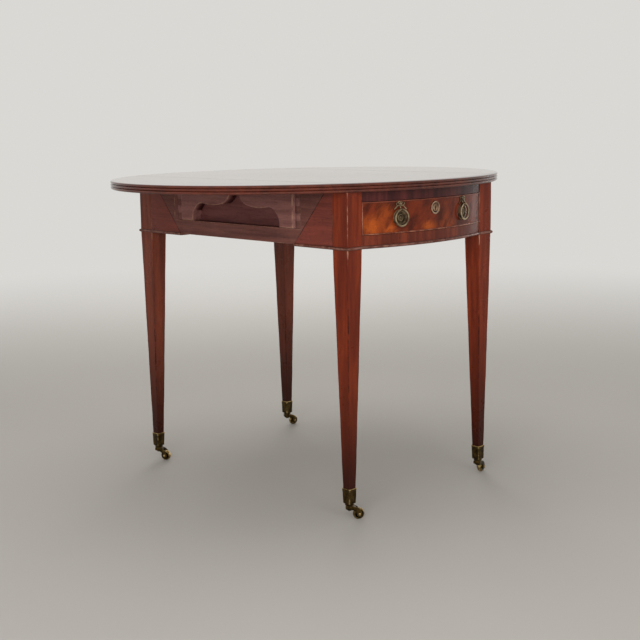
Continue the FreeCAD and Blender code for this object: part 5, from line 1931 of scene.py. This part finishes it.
@dataclass
class Studio:
    """A pale floor that fades into the background, soft lights and the camera."""

    wall: Colour = paint(218, 216, 212)
    floor: Colour = paint(196, 192, 186)
    floor_rings: tuple[float, ...] = (0.0, 1.0, 2.0, 4.0, 9.0)
    floor_steps: int = 64
    floor_cloud: float = 0.94
    floor_roughness: float = 0.6
    fade_from: float = 1.0
    fade_to: float = 4.2
    ambient: float = 0.42
    lens: float = 64.89
    sensor: float = 36.0
    place: tuple[float, float, float] = (-1.9228, -1.9503, 0.8357)
    yaw: float = 44.98
    pitch: float = 9.77
    roll: float = -0.72
    aim: float = 0.45
    lamps: tuple[Lamp, ...] = (
        Lamp("key", (-2.7, -2.0, 1.25), 2.4, 58.0, 26.0), Lamp("fill", (-0.9, -3.5, 1.25), 2.2, 30.0, 20.0),
        Lamp("overhead", (0.2, 0.4, 3.2), 2.6, 26.0, 0.0), Lamp("back", (2.4, 2.8, 1.9), 2.2, 44.0, 18.0),
        Lamp("window", (3.5, -0.1, 0.5), 0.8, 1.0, 26.0))

    def ground(self) -> None:
        """Makes the floor as rings about the table, and fades it into the wall's colour far off."""
        radius = np.array(self.floor_rings)[:, None]
        angle = turn_angles(self.floor_steps)[None]
        grid = np.stack([radius * np.cos(angle), radius * np.sin(angle), np.zeros_like(radius * angle)], -1)
        rings = skin_of(grid)
        mesh = bpy.data.meshes.new("floor")
        mesh.from_pydata(rings.points, [], rings.quads.tolist())
        floor = bpy.data.objects.new("floor", mesh)
        bpy.context.scene.collection.objects.link(floor)
        bench, shader, place = start_material("pale_floor")
        darker = tuple(self.floor_cloud * part for part in self.floor[:3]) + (1.0,)
        cloud = bench.noise(place, scale=1.4)
        bench.feed(shader.inputs["Base Color"], bench.mix(cloud, darker, self.floor))
        shader.inputs["Roughness"].default_value = self.floor_roughness
        shader.inputs["Specular IOR Level"].default_value = 0.0
        far = bench.add("VectorMath", {0: place}, operation="LENGTH").outputs["Value"]
        fade = bench.times(bench.ramp(far, self.fade_from, self.fade_to), self.seen(bench))
        glow = bench.add("Emission", {"Color": self.wall, "Strength": 1.0})
        both = bench.add("MixShader", {0: fade, 1: shader.outputs[0], 2: glow.outputs[0]})
        bench.feed(bench.tree.nodes["Material Output"].inputs["Surface"], both.outputs[0])
        mesh.materials.append(MADE["pale_floor"])

    def seen(self, bench: Bench) -> bpy.types.NodeSocket:
        """Gives 1 where a ray is the camera's own or a reflection, and 0 where it only brings light."""
        rays = bench.add("LightPath").outputs
        return bench.maths("MAXIMUM", rays["Is Camera Ray"], rays["Is Glossy Ray"])

    def sky(self) -> None:
        """Sets the background: the wall's colour to the camera and in reflections, less as light."""
        world = bpy.data.worlds.new("studio")
        world.use_nodes = True
        bpy.context.scene.world = world
        bench = Bench(world.node_tree)
        background = world.node_tree.nodes["Background"]
        background.inputs["Color"].default_value = self.wall
        strength = bench.ramp(self.seen(bench), 0.0, 1.0, self.ambient, 1.0)
        bench.feed(background.inputs["Strength"], strength)

    def lights(self) -> None:
        """Hangs the soft lamps: each lights the table, and its twin shows in polish and metal."""
        for lamp in self.lamps:
            lamp.hang(lamp.name, lamp.power, self.aim).visible_glossy = False
            if lamp.gleam:
                lamp.hang(lamp.name + "_gleam", lamp.gleam, self.aim).visible_diffuse = False

    def camera(self) -> None:
        """Sets the camera at the photograph's place, by yaw, pitch and roll."""
        yaw, pitch, roll = np.radians([self.yaw, self.pitch, self.roll])
        forward = np.array([np.sin(yaw) * np.cos(pitch), np.cos(yaw) * np.cos(pitch), -np.sin(pitch)])
        level = np.array([np.cos(yaw), -np.sin(yaw), 0.0])
        rise = np.cross(level, forward)
        right = np.cos(roll) * level + np.sin(roll) * rise
        up = np.cos(roll) * rise - np.sin(roll) * level
        data = bpy.data.cameras.new("camera")
        data.sensor_width = self.sensor
        data.lens = self.lens
        camera = bpy.data.objects.new("camera", data)
        camera.matrix_world = turned_to(right, up, -forward, self.place)
        bpy.context.scene.collection.objects.link(camera)
        bpy.context.scene.camera = camera

    def build(self) -> None:
        """Makes the whole studio."""
        bpy.context.scene.view_settings.view_transform = "Standard"
        self.camera()
        self.ground()
        self.sky()
        self.lights()


def main() -> None:
    """Builds every sub-assembly in order."""
    logging.basicConfig(level=logging.INFO, format="%(name)s: %(message)s")
    legs = Legs()
    bow = Bow()
    top = OvalTop()
    assemblies = (Studio(), top, legs, Beads(bow), Sides(), Ends(), Pulls(bow), Casters(legs), Hinges(top))
    for assembly in assemblies:
        log.info("building %s", type(assembly).__name__)
        assembly.build()


if __name__ == "__main__":
    main()
